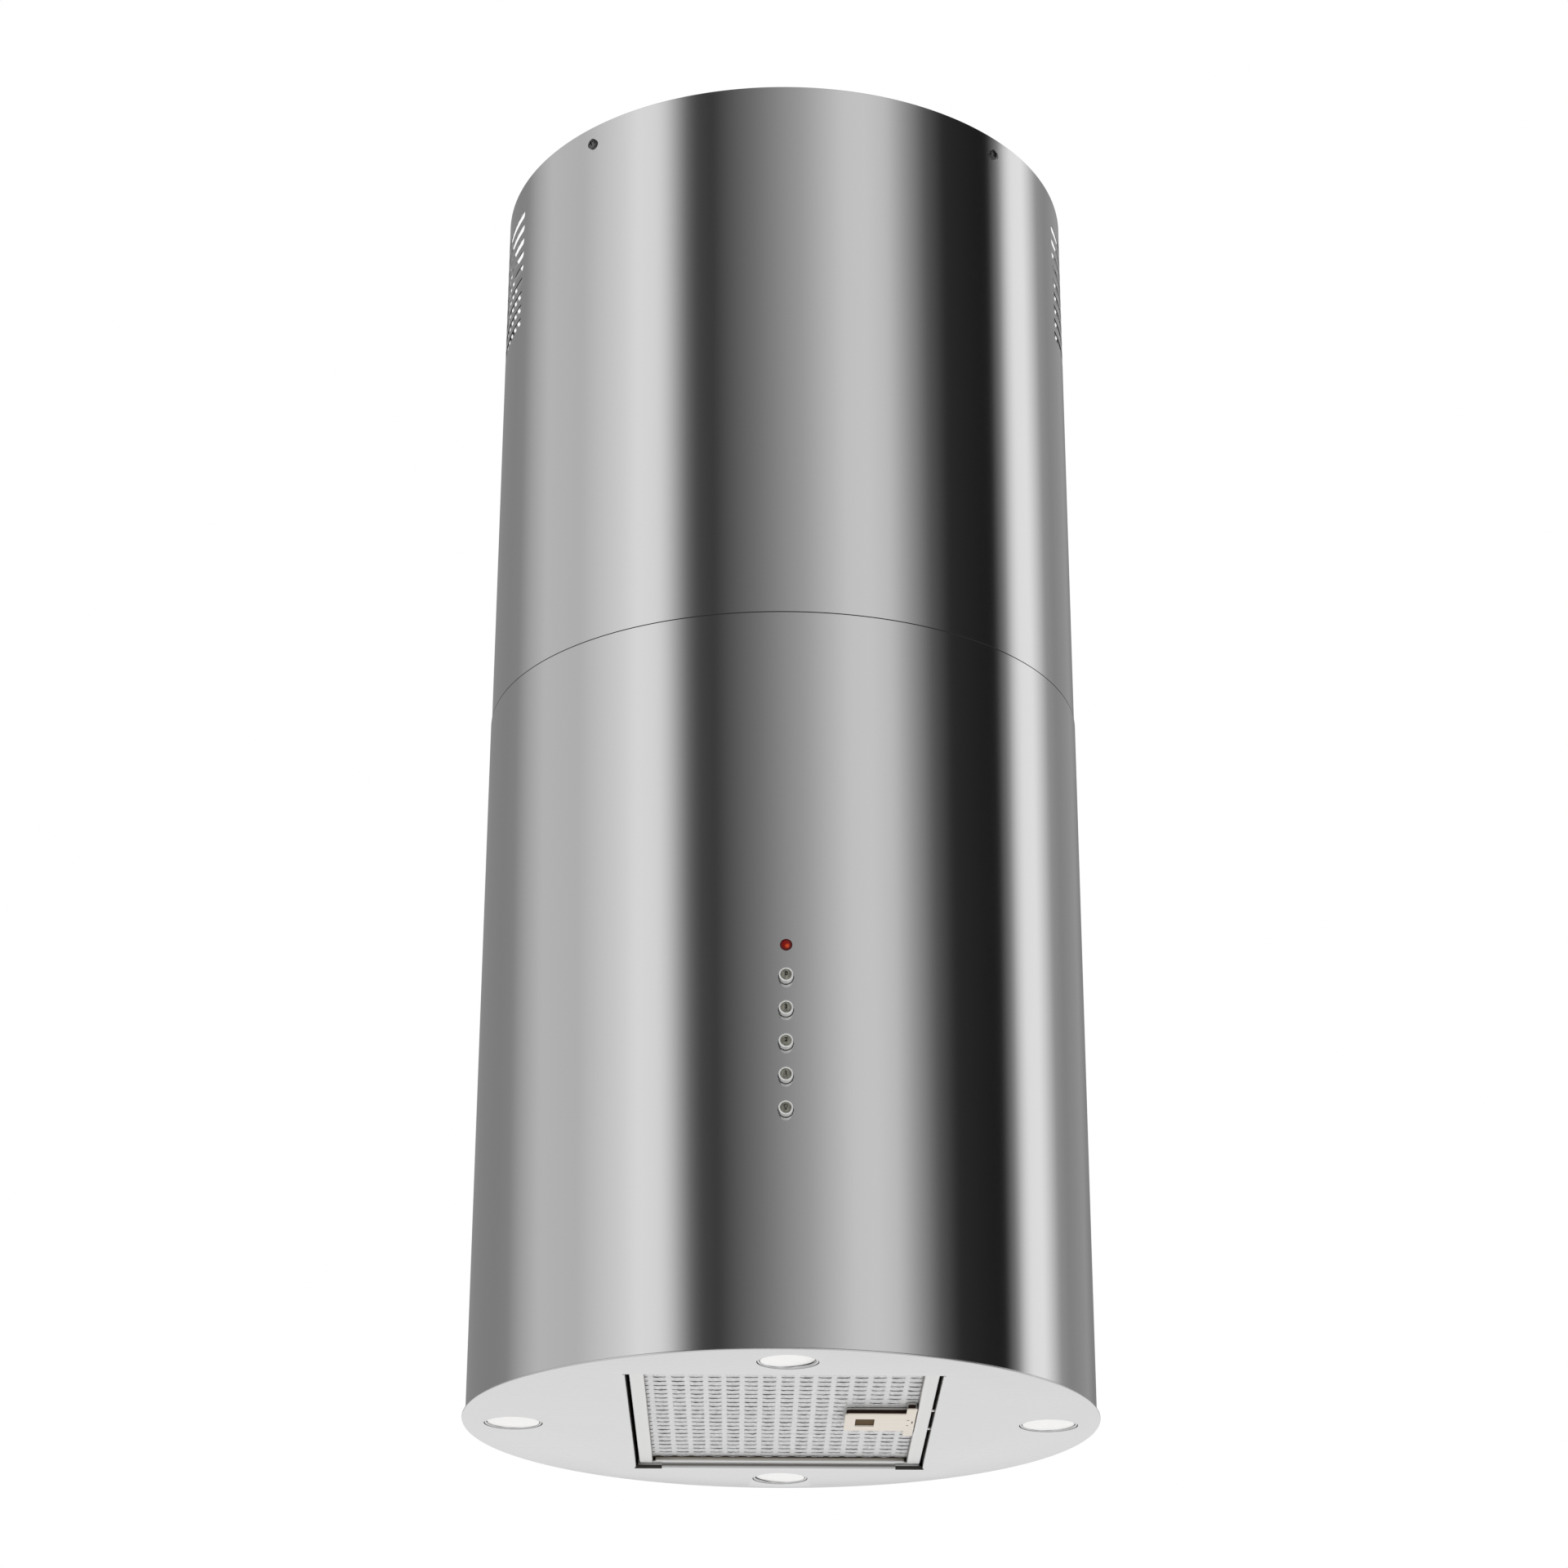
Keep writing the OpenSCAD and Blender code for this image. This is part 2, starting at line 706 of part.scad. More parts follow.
module scroll_screws() {
    color("gainsboro") hang() {
        along_x(ear_t, ear_t + m4_head_h) scroll_ear_places() circle(r = m4_head_r);
        along_x(-ear_t - 6, ear_t + eps) scroll_ear_places() circle(r = m4_r);
        along_x(-ear_t - 3, -ear_t) scroll_ear_places() difference() {
            circle(r = m4_head_r);
            circle(r = m4_r - 0.05);
        }
    }
}

module ring_2d(r_out, r_in) {
    difference() {
        circle(r = r_out);
        circle(r = r_in);
    }
}

module finger_guard() {
    color("silver") hang() difference() {
        along_x(-scroll_half - guard_t, -scroll_half) translate([fan_y, fan_z]) {
            ring_2d(inlet_ring_out, inlet_ring_in);
            for (r = [20, 35]) ring_2d(r + 1.25, r - 1.25);
            circle(r = 8);
            for (a = [0, 90]) rotate(a)
                translate([-inlet_ring_in - 1, -2]) square([2 * inlet_ring_in + 2, 4]);
        }
        mirror([1, 0, 0]) guard_screw_places() rod_x(scroll_half - 5, scroll_half + 5, m4_r + fit_gap);
    }
}

module motor_bracket() {
    color("silver") hang() difference() {
        along_x(scroll_half, scroll_half + guard_t) translate([fan_y, fan_z]) {
            ring_2d(inlet_ring_out, inlet_ring_in);
            ring_2d(motor_flange_r, motor_r + fit_gap);
            for (a = [30, 150, 270]) rotate(a) translate([motor_r + 3, -6])
                square([inlet_ring_in + 1 - motor_r - 3, 12]);
        }
        guard_screw_places() rod_x(scroll_half - 5, scroll_half + 5, m4_r + fit_gap);
    }
}

module guard_screws() {
    color("gainsboro") hang() for (s = [0, 1]) mirror([s, 0, 0]) guard_screw_places() {
        rod_x(scroll_half + guard_t, scroll_half + guard_t + m4_head_h, m4_head_r);
        rod_x(scroll_half - scroll_wall - 3, scroll_half + guard_t + eps, m4_r);
    }
}

module fan_motor() {
    color("slategray") hang() translate([0, fan_y, fan_z]) difference() {
        union() {
            rod_x(motor_front, motor_back, motor_r);
            rod_x(scroll_half + guard_t, scroll_half + guard_t + 2, motor_flange_r);
            rod_x(motor_front - 3, motor_front + eps, shaft_r + 6);
        }
        rod_x(motor_front - 5, shaft_back + 2, shaft_r + run_gap);
    }
}

module capacitor() {
    color("whitesmoke") hang()
        translate([-box_half_x - capacitor_r - 20, box_y0 + box_l - 1, deck_top]) {
            cylinder(h = capacitor_h, r = capacitor_r);
            for (s = [-1, 1]) translate([s * capacitor_r / 3, 0, capacitor_h - eps])
                cylinder(h = 8 + eps, r = 1.5);
        }
}

module impeller() {
    color("darkgray") hang() translate([0, fan_y, fan_z]) difference() {
        union() {
            rod_x(-1, 1, impeller_r);
            rod_x(-14, motor_front - 5, hub_r);
            for (s = [0, 1]) mirror([s, 0, 0]) translate([impeller_half - 4, 0, 0]) rotate([0, 90, 0])
                tube(impeller_r + 1.5, impeller_r - 2, 4);
            for (i = [0:blades - 1]) rotate([i * 360 / blades, 0, 0])
                translate([-impeller_half + 1, impeller_r - blade_l, -blade_t / 2])
                    cube([2 * impeller_half - 2, blade_l, blade_t]);
        }
        rod_x(-20, 20, shaft_r + 0.02);
    }
}

module motor_shaft() {
    color("gainsboro") hang() translate([0, fan_y, fan_z]) {
        rod_x(shaft_front, shaft_back, shaft_r);
        rod_x(-14 - nut_h, -14, shaft_r + 3);
    }
}

// ---- outlet collar and dampers ----

module outlet_collar() {
    color("silver") hang() difference() {
        union() {
            translate([-scroll_half - flange_out, outlet_y0 - flange_out, outlet_top])
                cube([2 * (scroll_half + flange_out), outlet_y1 - outlet_y0 + 2 * flange_out, 2]);
            translate([0, 0, outlet_top]) cylinder(h = 2 + collar_h, r = collar_r);
        }
        difference() {
            translate([0, 0, outlet_top - eps]) cylinder(h = collar_h + 4, r = collar_r - collar_t);
            difference() {
                translate([0, 0, pin_z - flap_t / 2 - pass_gap - ledge_t])
                    tube(collar_r, collar_r - collar_t - ledge_w, ledge_t);
                box(damper_pin_r + 1, collar_d, pin_z - 5, pin_z + 5);
            }
        }
        translate([0, 0, pin_z]) rod_y(-collar_d, collar_d, damper_pin_r + fit_gap);
        collar_screw_places() translate([0, 0, outlet_top - 5]) cylinder(h = 10, r = m4_r + fit_gap);
    }
}

module collar_screws() {
    color("gainsboro") hang() collar_screw_places() {
        translate([0, 0, outlet_top + 2]) cylinder(h = m4_head_h, r = m4_head_r);
        translate([0, 0, outlet_top - flange_t - 3]) cylinder(h = flange_t + 5 + eps, r = m4_r);
    }
}

module damper_pin() {
    color("gainsboro") hang() translate([0, 0, pin_z])
        rod_y(-collar_r + pass_gap, collar_r - pass_gap, damper_pin_r);
}

// The flap on the +X side. Its knuckles sit at the given middles along the pin.
module damper_flap(own, other) {
    translate([0, 0, pin_z]) difference() {
        union() {
            difference() {
                translate([0, 0, -flap_t / 2]) intersection() {
                    cylinder(h = flap_t, r = flap_r);
                    translate([0.8, -flap_r, 0]) cube([flap_r, 2 * flap_r, flap_t]);
                }
                translate([-eps, -flap_r, -flap_t]) cube([knuckle_r + 0.6 + eps, 2 * flap_r, 2 * flap_t]);
            }
            for (y = own) {
                rod_knuckle(y);
                translate([0.8, y - knuckle_l / 2, -flap_t / 2]) cube([knuckle_r + 1, knuckle_l, flap_t]);
            }
        }
        rod_y(-collar_r, collar_r, damper_pin_r + run_gap);
        for (y = other) translate([0, y - knuckle_l / 2 - pass_gap, 0])
            rod_y(0, knuckle_l + 2 * pass_gap, knuckle_r + pass_gap);
    }
}

module rod_knuckle(y) {
    rod_y(y - knuckle_l / 2, y + knuckle_l / 2, knuckle_r);
}

module damper_flap_right() {
    color("gainsboro") hang() damper_flap([-45, 15], [-15, 45]);
}

module damper_flap_left() {
    color("gainsboro") hang() mirror([1, 0, 0]) damper_flap([-15, 45], [-45, 15]);
}

// ---- controls ----

module switch_block() {
    color("#262626") hang() difference() {
        union() {
            translate([-switch_w / 2, -block_front, block_z0])
                cube([switch_w, block_front - block_back, block_z1 - block_z0]);
            for (i = [0:button_count - 1]) translate([0, 0, button_z + i * button_pitch])
                rod_y(-guide_front, -block_front + eps, guide_r);
            for (z = [block_z0 + 2.5, block_z1 - 2]) translate([0, 0, z])
                rod_y(-lower_in_r + 0.1, -block_front + eps, 1.8);
        }
        for (i = [0:button_count - 1]) translate([0, 0, button_z + i * button_pitch]) {
            rod_y(-lower_r - 5, -block_back + eps, guide_bore_r);
            rod_y(-chamber_front, -block_back + eps, chamber_r);
        }
        translate([0, 0, lens_z]) rod_y(-lower_r - 5, -block_front + lens_l, lens_d / 2 - 0.1 + fit_gap);
    }
}

module switch_cover() {
    color("#303030") hang() difference() {
        translate([-switch_w / 2, -block_back, block_z0]) cube([switch_w, cover_t, block_z1 - block_z0]);
        for (i = [0:button_count - 1]) translate([0, 0, button_z + i * button_pitch])
            rod_y(-block_back - eps, -block_back + stem_in + button_travel + 0.6, stem_r + run_gap);
    }
}

module indicator_lens() {
    color("#6b200d") hang() translate([0, 0, lens_z]) difference() {
        rod_y(-lower_r - lens_out, -block_front + lens_l, lens_d / 2 - 0.1);
        rod_y(-block_front, -block_front + lens_l + eps, lens_d / 2 - 1.5);
    }
}

module ribbon_cable() {
    color("lightgray") hang() translate([0, ribbon_y, 0])
        box(ribbon_w / 2, ribbon_t / 2, deck_top + box_h + box_wall, block_z0);
}

// A push button: cap, stop collar and stem, out of the tube by button_out at rest.
module push_button(i) {
    color("gainsboro") hang() translate([0, 0, button_z + i * button_pitch]) {
        difference() {
            rod_y(-lower_r - button_out, -chamber_front + pass_gap + eps, button_d / 2);
            rod_y(-lower_r - button_out - eps, -lower_r - button_out + 0.5, button_d / 2 - 1.1);
        }
        rod_y(-chamber_front + pass_gap, -chamber_front + pass_gap + stop_t, stop_r);
        rod_y(-chamber_front + pass_gap, -block_back + stem_in, stem_r);
    }
}

// ---- electrics ----

module control_box() {
    color("gainsboro") hang() translate([0, box_y0, deck_top]) {
        difference() {
            translate([-box_half_x, 0, 0]) cube([2 * box_half_x, box_l, box_h]);
            translate([-box_half_x + box_wall, box_wall, box_wall])
                cube([2 * (box_half_x - box_wall), box_l - 2 * box_wall, box_h]);
        }
        for (x = [-1, 1], y = [6, box_l - 6]) translate([x * (box_half_x - 6), y, box_wall - eps])
            cylinder(h = board_rise + eps, r = 2.5);
    }
}

module control_box_lid() {
    color("gainsboro") hang() translate([-box_half_x, box_y0, deck_top + box_h])
        cube([2 * box_half_x, box_l, box_wall]);
}

// A block on the board: place and size as shares of the board, and a height.
module board_part(x, y, w, l, h) {
    translate([x * board_w, y * board_l, board_t - eps]) cube([w * board_w, l * board_l, h + eps]);
}

module control_board() {
    color("seagreen") hang()
        translate([-board_w / 2, box_y0 + box_margin, deck_top + box_wall + board_rise]) {
            cube([board_w, board_l, board_t]);
            board_part(0.15, 0.13, 0.26, 0.5, relay_h);
            board_part(0.55, 0.18, 0.14, 0.3, 0.7 * relay_h);
            board_part(0.79, 0.13, 0.12, 0.7, 0.8 * relay_h);
        }
}

module lamp_driver() {
    color("whitesmoke") hang() translate([-driver_half_x, driver_y1 - driver_l, deck_top])
        cube([2 * driver_half_x, driver_l, driver_h]);
}

module terminal_block() {
    color("ivory") hang()
        translate([driver_half_x + 17, driver_y1 - driver_l + 6, deck_top]) difference() {
            cube([3 * terminal_pitch, terminal_w, terminal_h]);
            for (i = [0:2], s = [0.25, 0.75])
                translate([(i + 0.5) * terminal_pitch, s * terminal_w, 0.6 * terminal_h])
                    cylinder(h = terminal_h, r = 2.4);
        }
}

module wiring_loom() {
    color("#3a3a3a") hang() {
        translate([0, 0, loom_z]) rotate_extrude() translate([lamp_circle_r, 0]) circle(r = loom_r);
        lamp_places() translate([0, 0, lamp_top + plug_h]) cylinder(h = loom_z - lamp_top - plug_h, r = 2);
        translate([0, lamp_circle_r, loom_z]) cylinder(h = driver_feed_z + loom_r - loom_z, r = loom_r);
        translate([0, 0, driver_feed_z]) rod_y(driver_y1, lamp_circle_r, loom_r);
    }
}

function unit(v) = v / norm(v);
function lead_dir(i) = unit(lead_points[min(i + 1, len(lead_points) - 1)] - lead_points[max(i - 1, 0)]);
function lead_side(i) = unit(cross(lead_dir(i), [0, 0, 1]));
function lead_up(i) = cross(lead_side(i), lead_dir(i));
function lead_ring(i) = [for (k = [0:lead_sides - 1]) let (a = 360 * k / lead_sides)
    lead_points[i] + lead_r * (cos(a) * lead_side(i) + sin(a) * lead_up(i))];

module motor_lead() {
    rings = len(lead_points);
    points = [for (i = [0:rings - 1]) each lead_ring(i)];
    walls = [for (i = [0:rings - 2], k = [0:lead_sides - 1]) let (n = (k + 1) % lead_sides)
        [i * lead_sides + k, i * lead_sides + n, (i + 1) * lead_sides + n, (i + 1) * lead_sides + k]];
    first = [for (k = [lead_sides - 1:-1:0]) k];
    last = [for (k = [0:lead_sides - 1]) (rings - 1) * lead_sides + k];
    color("#3a3a3a") hang() polyhedron(points, concat([first], walls, [last]));
}

// ---- lamps ----

module at_lamp(i) {
    hang() rotate([0, 0, 90 * i]) translate([lamp_circle_r, 0, 0]) children();
}

module lamp_bezel(i) {
    color("gainsboro") at_lamp(i) rotate_extrude() polygon([
        [bezel_r - bezel_w - 0.5, 2.1], [bezel_r - bezel_w + 0.8, 0.6], [bezel_r - 1.2, 0.2],
        [bezel_r - 0.4, 0.35], [bezel_r, 0.9], [bezel_r, bezel_h],
        [bezel_r - bezel_w, bezel_h], [bezel_r - bezel_w, 2.1]
    ]);
}

module lamp_lens(i) {
    dome = (lamp_lens_r * lamp_lens_r + lamp_lens_rise * lamp_lens_rise) / (2 * lamp_lens_rise);
    color("white") at_lamp(i) translate([0, 0, lamp_lens_z]) intersection() {
        cylinder(h = lamp_lens_t, r = lamp_lens_r);
        translate([0, 0, dome]) sphere(r = dome, $fn = dome_sides);
    }
}

module lamp_bodies() {
    color("lightgray") hang() lamp_places() {
        translate([0, 0, bezel_h]) cylinder(h = lamp_body_h, r = bezel_r - 0.4);
        translate([0, 0, lamp_top - eps]) cylinder(h = plug_h + eps, r = plug_r);
    }
}

module lamp_clips() {
    color("silver") hang() lamp_places() {
        translate([0, 0, plate_t]) tube(clip_flange_r, clip_in_r, 1.2);
        translate([0, 0, plate_t])
            tube(clip_in_r + clip_t, clip_in_r, lamp_top - plate_t + pass_gap + clip_t);
        translate([0, 0, lamp_top + pass_gap]) tube(clip_in_r + clip_t, plug_r + 3, clip_t);
    }
}

// ---- grease filter ----

module filter_frame() {
    color("whitesmoke") hang() difference() {
        union() {
            difference() {
                box(filter_half_x, filter_half_y, filter_z, filter_top);
                box(filter_half_x - filter_sheet, filter_half_y - filter_sheet,
                    filter_z + filter_sheet, filter_top - filter_sheet);
                box(filter_in_x, filter_in_y, filter_z - eps, filter_top + eps);
            }
            difference() {
                box(filter_in_x + filter_sheet, filter_in_y + filter_sheet, filter_z, sheet_z);
                box(filter_in_x, filter_in_y, filter_z - eps, sheet_z + eps);
            }
        }
        for (s = [-1, 1])
            translate([filter_in_x - 2, s * tongue_y - tongue_w / 2 - pass_gap, tongue_z - pass_gap])
                cube([filter_rail + 4, tongue_w + 2 * pass_gap, tongue_t + 2 * pass_gap]);
        translate([pivot_x, 0, pivot_z]) rod_y(-filter_half_y - eps, filter_half_y + eps, pivot_r + 0.02);
    }
}

module slotted_sheet() {
    difference() {
        square([2 * sheet_half_x, 2 * sheet_half_y], center = true);
        translate([pattern_x, pattern_y])
            for (i = [0:slot_columns - 1], k = [0:slot_rows - 1])
                translate([slot_pitch_x * (i - (slot_columns - 1) / 2),
                           slot_pitch_y * (k - (slot_rows - 1) / 2)])
                    square([slot_l, slot_w], center = true);
    }
}

module filter_front_sheet() {
    color("lightgray") hang() translate([0, 0, sheet_z]) linear_extrude(filter_sheet) slotted_sheet();
}

module filter_core() {
    color("darkgray") hang()
        box(sheet_half_x, sheet_half_y, sheet_z + filter_sheet, filter_top - filter_sheet);
}

module filter_pivot_pins() {
    color("gainsboro") hang() for (s = [0, 1]) mirror([0, s, 0]) translate([pivot_x, 0, pivot_z]) {
        rod_y(filter_half_y - filter_sheet, bracket_y + bracket_t + 0.8, pivot_r);
        rod_y(filter_half_y, filter_half_y + pivot_collar_t, pivot_collar_r);
    }
}

// Outline of the handle: a bar with round corners at its free end and a cross piece.
// Both are drawn smaller by inset, except where the cross piece meets the rail.
module handle_2d(inset) {
    x0 = handle_x0 + inset;
    half = handle_w / 2 - inset;
    translate([x0 + handle_corner, -half]) square([handle_x1 - x0 - handle_corner, 2 * half]);
    translate([x0, -half + handle_corner]) square([handle_corner, 2 * (half - handle_corner)]);
    for (s = [-1, 1]) translate([x0 + handle_corner, s * (half - handle_corner)]) circle(r = handle_corner);
}

module handle_head_2d(wall) {
    translate([handle_x1 - handle_head_w + wall, -handle_head_l / 2 + wall])
        square([handle_head_w - wall, handle_head_l - 2 * wall]);
}

module filter_handle() {
    color("#e0d7cc") hang() difference() {
        union() {
            translate([0, 0, handle_z]) linear_extrude(handle_t) handle_2d(0);
            translate([0, 0, handle_z]) linear_extrude(sheet_z - handle_z) {
                handle_2d(handle_inset);
                handle_head_2d(0);
            }
        }
        translate([0, 0, handle_z + handle_t]) linear_extrude(filter_t) {
            handle_2d(handle_inset + handle_t);
            translate([0.1, 0]) handle_head_2d(0.6);
        }
        translate([window_x, -window_w / 2, 0]) cube([window_l, window_w, 3]);
    }
}

module filter_latch() {
    bar_x1 = handle_x1 - pass_gap;
    color("#685544") hang() {
        difference() {
            translate([window_x - pass_gap, -latch_half_w, latch_z])
                cube([bar_x1 - window_x + pass_gap, 2 * latch_half_w, latch_t]);
            translate([window_x + 2, -window_w / 2 + 1.5, latch_z - eps])
                cube([window_l - 4, window_w - 3, 1.2 + eps]);
        }
        translate([bar_x1 - latch_bar_w, -tongue_y - tongue_w / 2, latch_z])
            cube([latch_bar_w, 2 * tongue_y + tongue_w, latch_t]);
        for (s = [-1, 1]) translate([bar_x1 - latch_bar_w, s * tongue_y - tongue_w / 2, tongue_z])
            cube([tongue_end - bar_x1 + latch_bar_w, tongue_w, tongue_t]);
    }
}

ceiling_plate();
cable_grommet();
upper_rails();
upper_frame_screws();
upper_tube();
tube_screws();
lower_tube();
bottom_plate();
chassis();
lower_rails();
lower_frame_screws();
frame_clamp_screws();
scroll_left();
scroll_right();
scroll_screws();
finger_guard();
motor_bracket();
guard_screws();
fan_motor();
capacitor();
outlet_collar();
collar_screws();
damper_pin();
switch_block();
switch_cover();
indicator_lens();
ribbon_cable();
control_box();
control_box_lid();
control_board();
lamp_driver();
terminal_block();
for (i = [0:3]) {
    lamp_bezel(i);
    lamp_lens(i);
}
lamp_bodies();
lamp_clips();
wiring_loom();
motor_lead();
filter_brackets();
impeller();
motor_shaft();
damper_flap_left();
damper_flap_right();
push_button(0);  // button_light
push_button(1);  // button_1
push_button(2);  // button_2
push_button(3);  // button_3
push_button(4);  // button_0
filter_frame();
filter_front_sheet();
filter_core();
filter_pivot_pins();
filter_handle();
filter_latch();
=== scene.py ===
import json
import math

import bmesh
import bpy
from mathutils import Matrix, Vector, noise


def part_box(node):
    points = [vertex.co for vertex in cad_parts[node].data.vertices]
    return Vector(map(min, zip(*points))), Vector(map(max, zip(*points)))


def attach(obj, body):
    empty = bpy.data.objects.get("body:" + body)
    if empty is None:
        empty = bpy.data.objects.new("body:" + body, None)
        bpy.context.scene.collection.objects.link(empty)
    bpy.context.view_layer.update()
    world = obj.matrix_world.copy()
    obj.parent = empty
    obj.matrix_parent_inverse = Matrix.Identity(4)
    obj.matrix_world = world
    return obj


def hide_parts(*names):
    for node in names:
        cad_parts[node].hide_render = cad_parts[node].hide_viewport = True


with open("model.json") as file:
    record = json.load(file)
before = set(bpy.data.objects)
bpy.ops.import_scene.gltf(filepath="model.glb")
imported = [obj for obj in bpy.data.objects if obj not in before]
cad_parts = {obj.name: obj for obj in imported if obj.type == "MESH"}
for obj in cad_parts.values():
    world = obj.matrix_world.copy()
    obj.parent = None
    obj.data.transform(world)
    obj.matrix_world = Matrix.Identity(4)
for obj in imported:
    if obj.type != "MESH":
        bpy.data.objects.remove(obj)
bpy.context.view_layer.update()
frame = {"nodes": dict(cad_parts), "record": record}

MM = 0.001
TURN = 2 * math.pi
# The filter's louvres: their spacing, how far the pattern lies off the middle, and one louvre.
PITCH_X, PITCH_Y = 10.65 * MM, 10.85 * MM
PATTERN_X, PATTERN_Y = 3 * MM, 4.3 * MM
LOUVRE_L, LOUVRE_MOUTH, LOUVRE_D, LOUVRE_DROP = 7.9 * MM, 0.9 * MM, 6.6 * MM, 0.44 * MM
# Heights at which the indicator's and the rails' finishes change: the rails turn to a painted shade near the
# mesh.
LENS_LEVEL = (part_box("indicator_lens")[0].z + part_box("indicator_lens")[1].z) / 2
RAIL_SHADE_START, RAIL_SHADE_FULL = [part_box("filter_front_sheet")[0].z + rise * MM for rise in (-3.4, -1.0)]


# ---- finishes ----

class Signal:
    """A value that runs through a finish. Arithmetic on it adds Math nodes."""

    def __init__(self, finish, socket):
        self.finish = finish
        self.socket = socket

    def maths(self, operation, *others):
        return self.finish.maths(operation, self, *others)

    def __add__(self, other):
        return self.maths("ADD", other)

    __radd__ = __add__

    def __sub__(self, other):
        return self.maths("SUBTRACT", other)

    def __rsub__(self, other):
        return self.finish.maths("SUBTRACT", other, self)

    def __mul__(self, other):
        return self.maths("MULTIPLY", other)

    __rmul__ = __mul__

    def __truediv__(self, other):
        return self.maths("DIVIDE", other)

    def __pow__(self, other):
        return self.maths("POWER", other)

    def absolute(self):
        return self.maths("ABSOLUTE")

    def ramp(self, low, high):
        """0 at low, 1 at high, and smooth between them."""
        settings = {"interpolation_type": "SMOOTHSTEP"}
        return self.finish.add("ShaderNodeMapRange", settings, {0: self, 1: low, 2: high, 3: 0.0, 4: 1.0})


class Finish:
    """A node tree that is built from expressions: a material, or the world."""

    def __init__(self, tree):
        self.tree = tree
        self.tree.nodes.clear()

    def add(self, kind, settings=None, inputs=None, output=0):
        """Adds a node, sets its settings and then its sockets, and gives the wanted output."""
        made = self.tree.nodes.new(kind)
        for name, value in (settings or {}).items():
            if name == "stops":
                self.set_stops(made.color_ramp, value)
            else:
                setattr(made, name, value)
        for name, value in (inputs or {}).items():
            if isinstance(value, Signal):
                self.tree.links.new(value.socket, made.inputs[name])
            else:
                made.inputs[name].default_value = value
        return Signal(self, made.outputs[output]) if made.outputs else None

    @staticmethod
    def set_stops(ramp, stops):
        while len(ramp.elements) < len(stops):
            ramp.elements.new(1.0)
        for element, (place, tone) in zip(ramp.elements, stops):
            element.position = place
            element.color = (tone, tone, tone, 1)

    def maths(self, operation, *values):
        return self.add("ShaderNodeMath", {"operation": operation}, dict(enumerate(values)))

    def place(self):
        """The object's own coordinates."""
        return self.add("ShaderNodeTexCoord", output="Object")

    def parts(self, vector):
        """The X, Y and Z of a vector."""
        split = self.add("ShaderNodeSeparateXYZ", inputs={0: vector})
        return [Signal(self, socket) for socket in split.socket.node.outputs]

    def stretched(self, x, y, z):
        """The object's own place, with each axis multiplied."""
        settings = {"operation": "MULTIPLY"}
        return self.add("ShaderNodeVectorMath", settings, {0: self.place(), 1: (x, y, z)})

    def grain(self, scale, detail=2.0, roughness=0.5, vector=None):
        """Noise from 0 to 1, over the object's own place unless a vector is given."""
        vector = vector or self.place()
        sockets = {"Vector": vector, "Scale": scale, "Detail": detail, "Roughness": roughness}
        return self.add("ShaderNodeTexNoise", inputs=sockets)

    def blend(self, share, first, second):
        """A colour between two."""
        return self.add("ShaderNodeMix", {"data_type": "RGBA"}, {0: share, 6: first, 7: second}, 2)

    def relief(self, height, depth):
        """A normal that shows a height from 0 to 1 as relief of this depth in metres."""
        return self.add("ShaderNodeBump", inputs={"Height": height, "Distance": depth, "Strength": 1.0})

    def surface(self, **sockets):
        """Ends the material in a Principled surface. Socket names are written with _ for a space."""
        named = {name.replace("_", " ").title().replace("Ior", "IOR"): v for name, v in sockets.items()}
        shader = self.add("ShaderNodeBsdfPrincipled", inputs=named)
        self.add("ShaderNodeOutputMaterial", inputs={"Surface": shader})


def tint(red, green=None, blue=None):
    """A colour, or a grey from one tone."""
    if green is None:
        return (red, red, red, 1)
    return (red, green, blue, 1)


def material(name, recipe, *values, **options):
    """A material that a recipe builds."""
    made = bpy.data.materials.new(name)
    made.use_nodes = True
    recipe(Finish(made.node_tree), *values, **options)
    return made


def satin_steel(finish, tone, roughness, depth):
    """Tube steel, ground along its length, with hardly visible streaks."""
    x, y, z = finish.parts(finish.place())
    unrolled = {0: y.maths("ARCTAN2", x) * 900.0, 1: z * 2.5}
    streaks = finish.grain(1.0, 3.0, 0.6, finish.add("ShaderNodeCombineXYZ", inputs=unrolled))
    clouds = finish.grain(7.0, 3.0)
    finish.surface(
        base_color=finish.blend(streaks, tint(tone - 0.012), tint(tone + 0.012)),
        metallic=1.0,
        roughness=roughness + 0.03 * (streaks - 0.5) + 0.03 * (clouds - 0.5),
        normal=finish.relief(streaks, depth),
    )


def plate_steel(finish, tone, roughness):
    """Sheet steel that is ground along X."""
    streaks = finish.grain(1.0, 3.0, 0.6, finish.stretched(12.0, 2600.0, 2600.0))
    clouds = finish.grain(9.0, 2.0)
    finish.surface(
        base_color=finish.blend(streaks, tint(tone - 0.01), tint(tone + 0.01)),
        metallic=1.0,
        roughness=roughness + 0.05 * (streaks - 0.5) + 0.05 * (clouds - 0.5),
        normal=finish.relief(streaks, 0.0000008),
    )


def zinc_sheet(finish, tone):
    """Zinc coated sheet with its frosty spangle."""
    spangle = finish.add(
        "ShaderNodeTexVoronoi", {"feature": "F1"}, {"Vector": finish.place(), "Scale": 110.0}, "Color"
    )
    cell = finish.add("ShaderNodeRGBToBW", inputs={0: spangle})
    dust = finish.grain(900.0)
    finish.surface(
        base_color=finish.blend(cell, tint(tone * 0.82, tone * 0.84, tone * 0.87), tint(tone, tone, tone)),
        metallic=1.0,
        roughness=0.34 + 0.18 * cell + 0.05 * (dust - 0.5),
        normal=finish.relief(dust, 0.000006),
    )


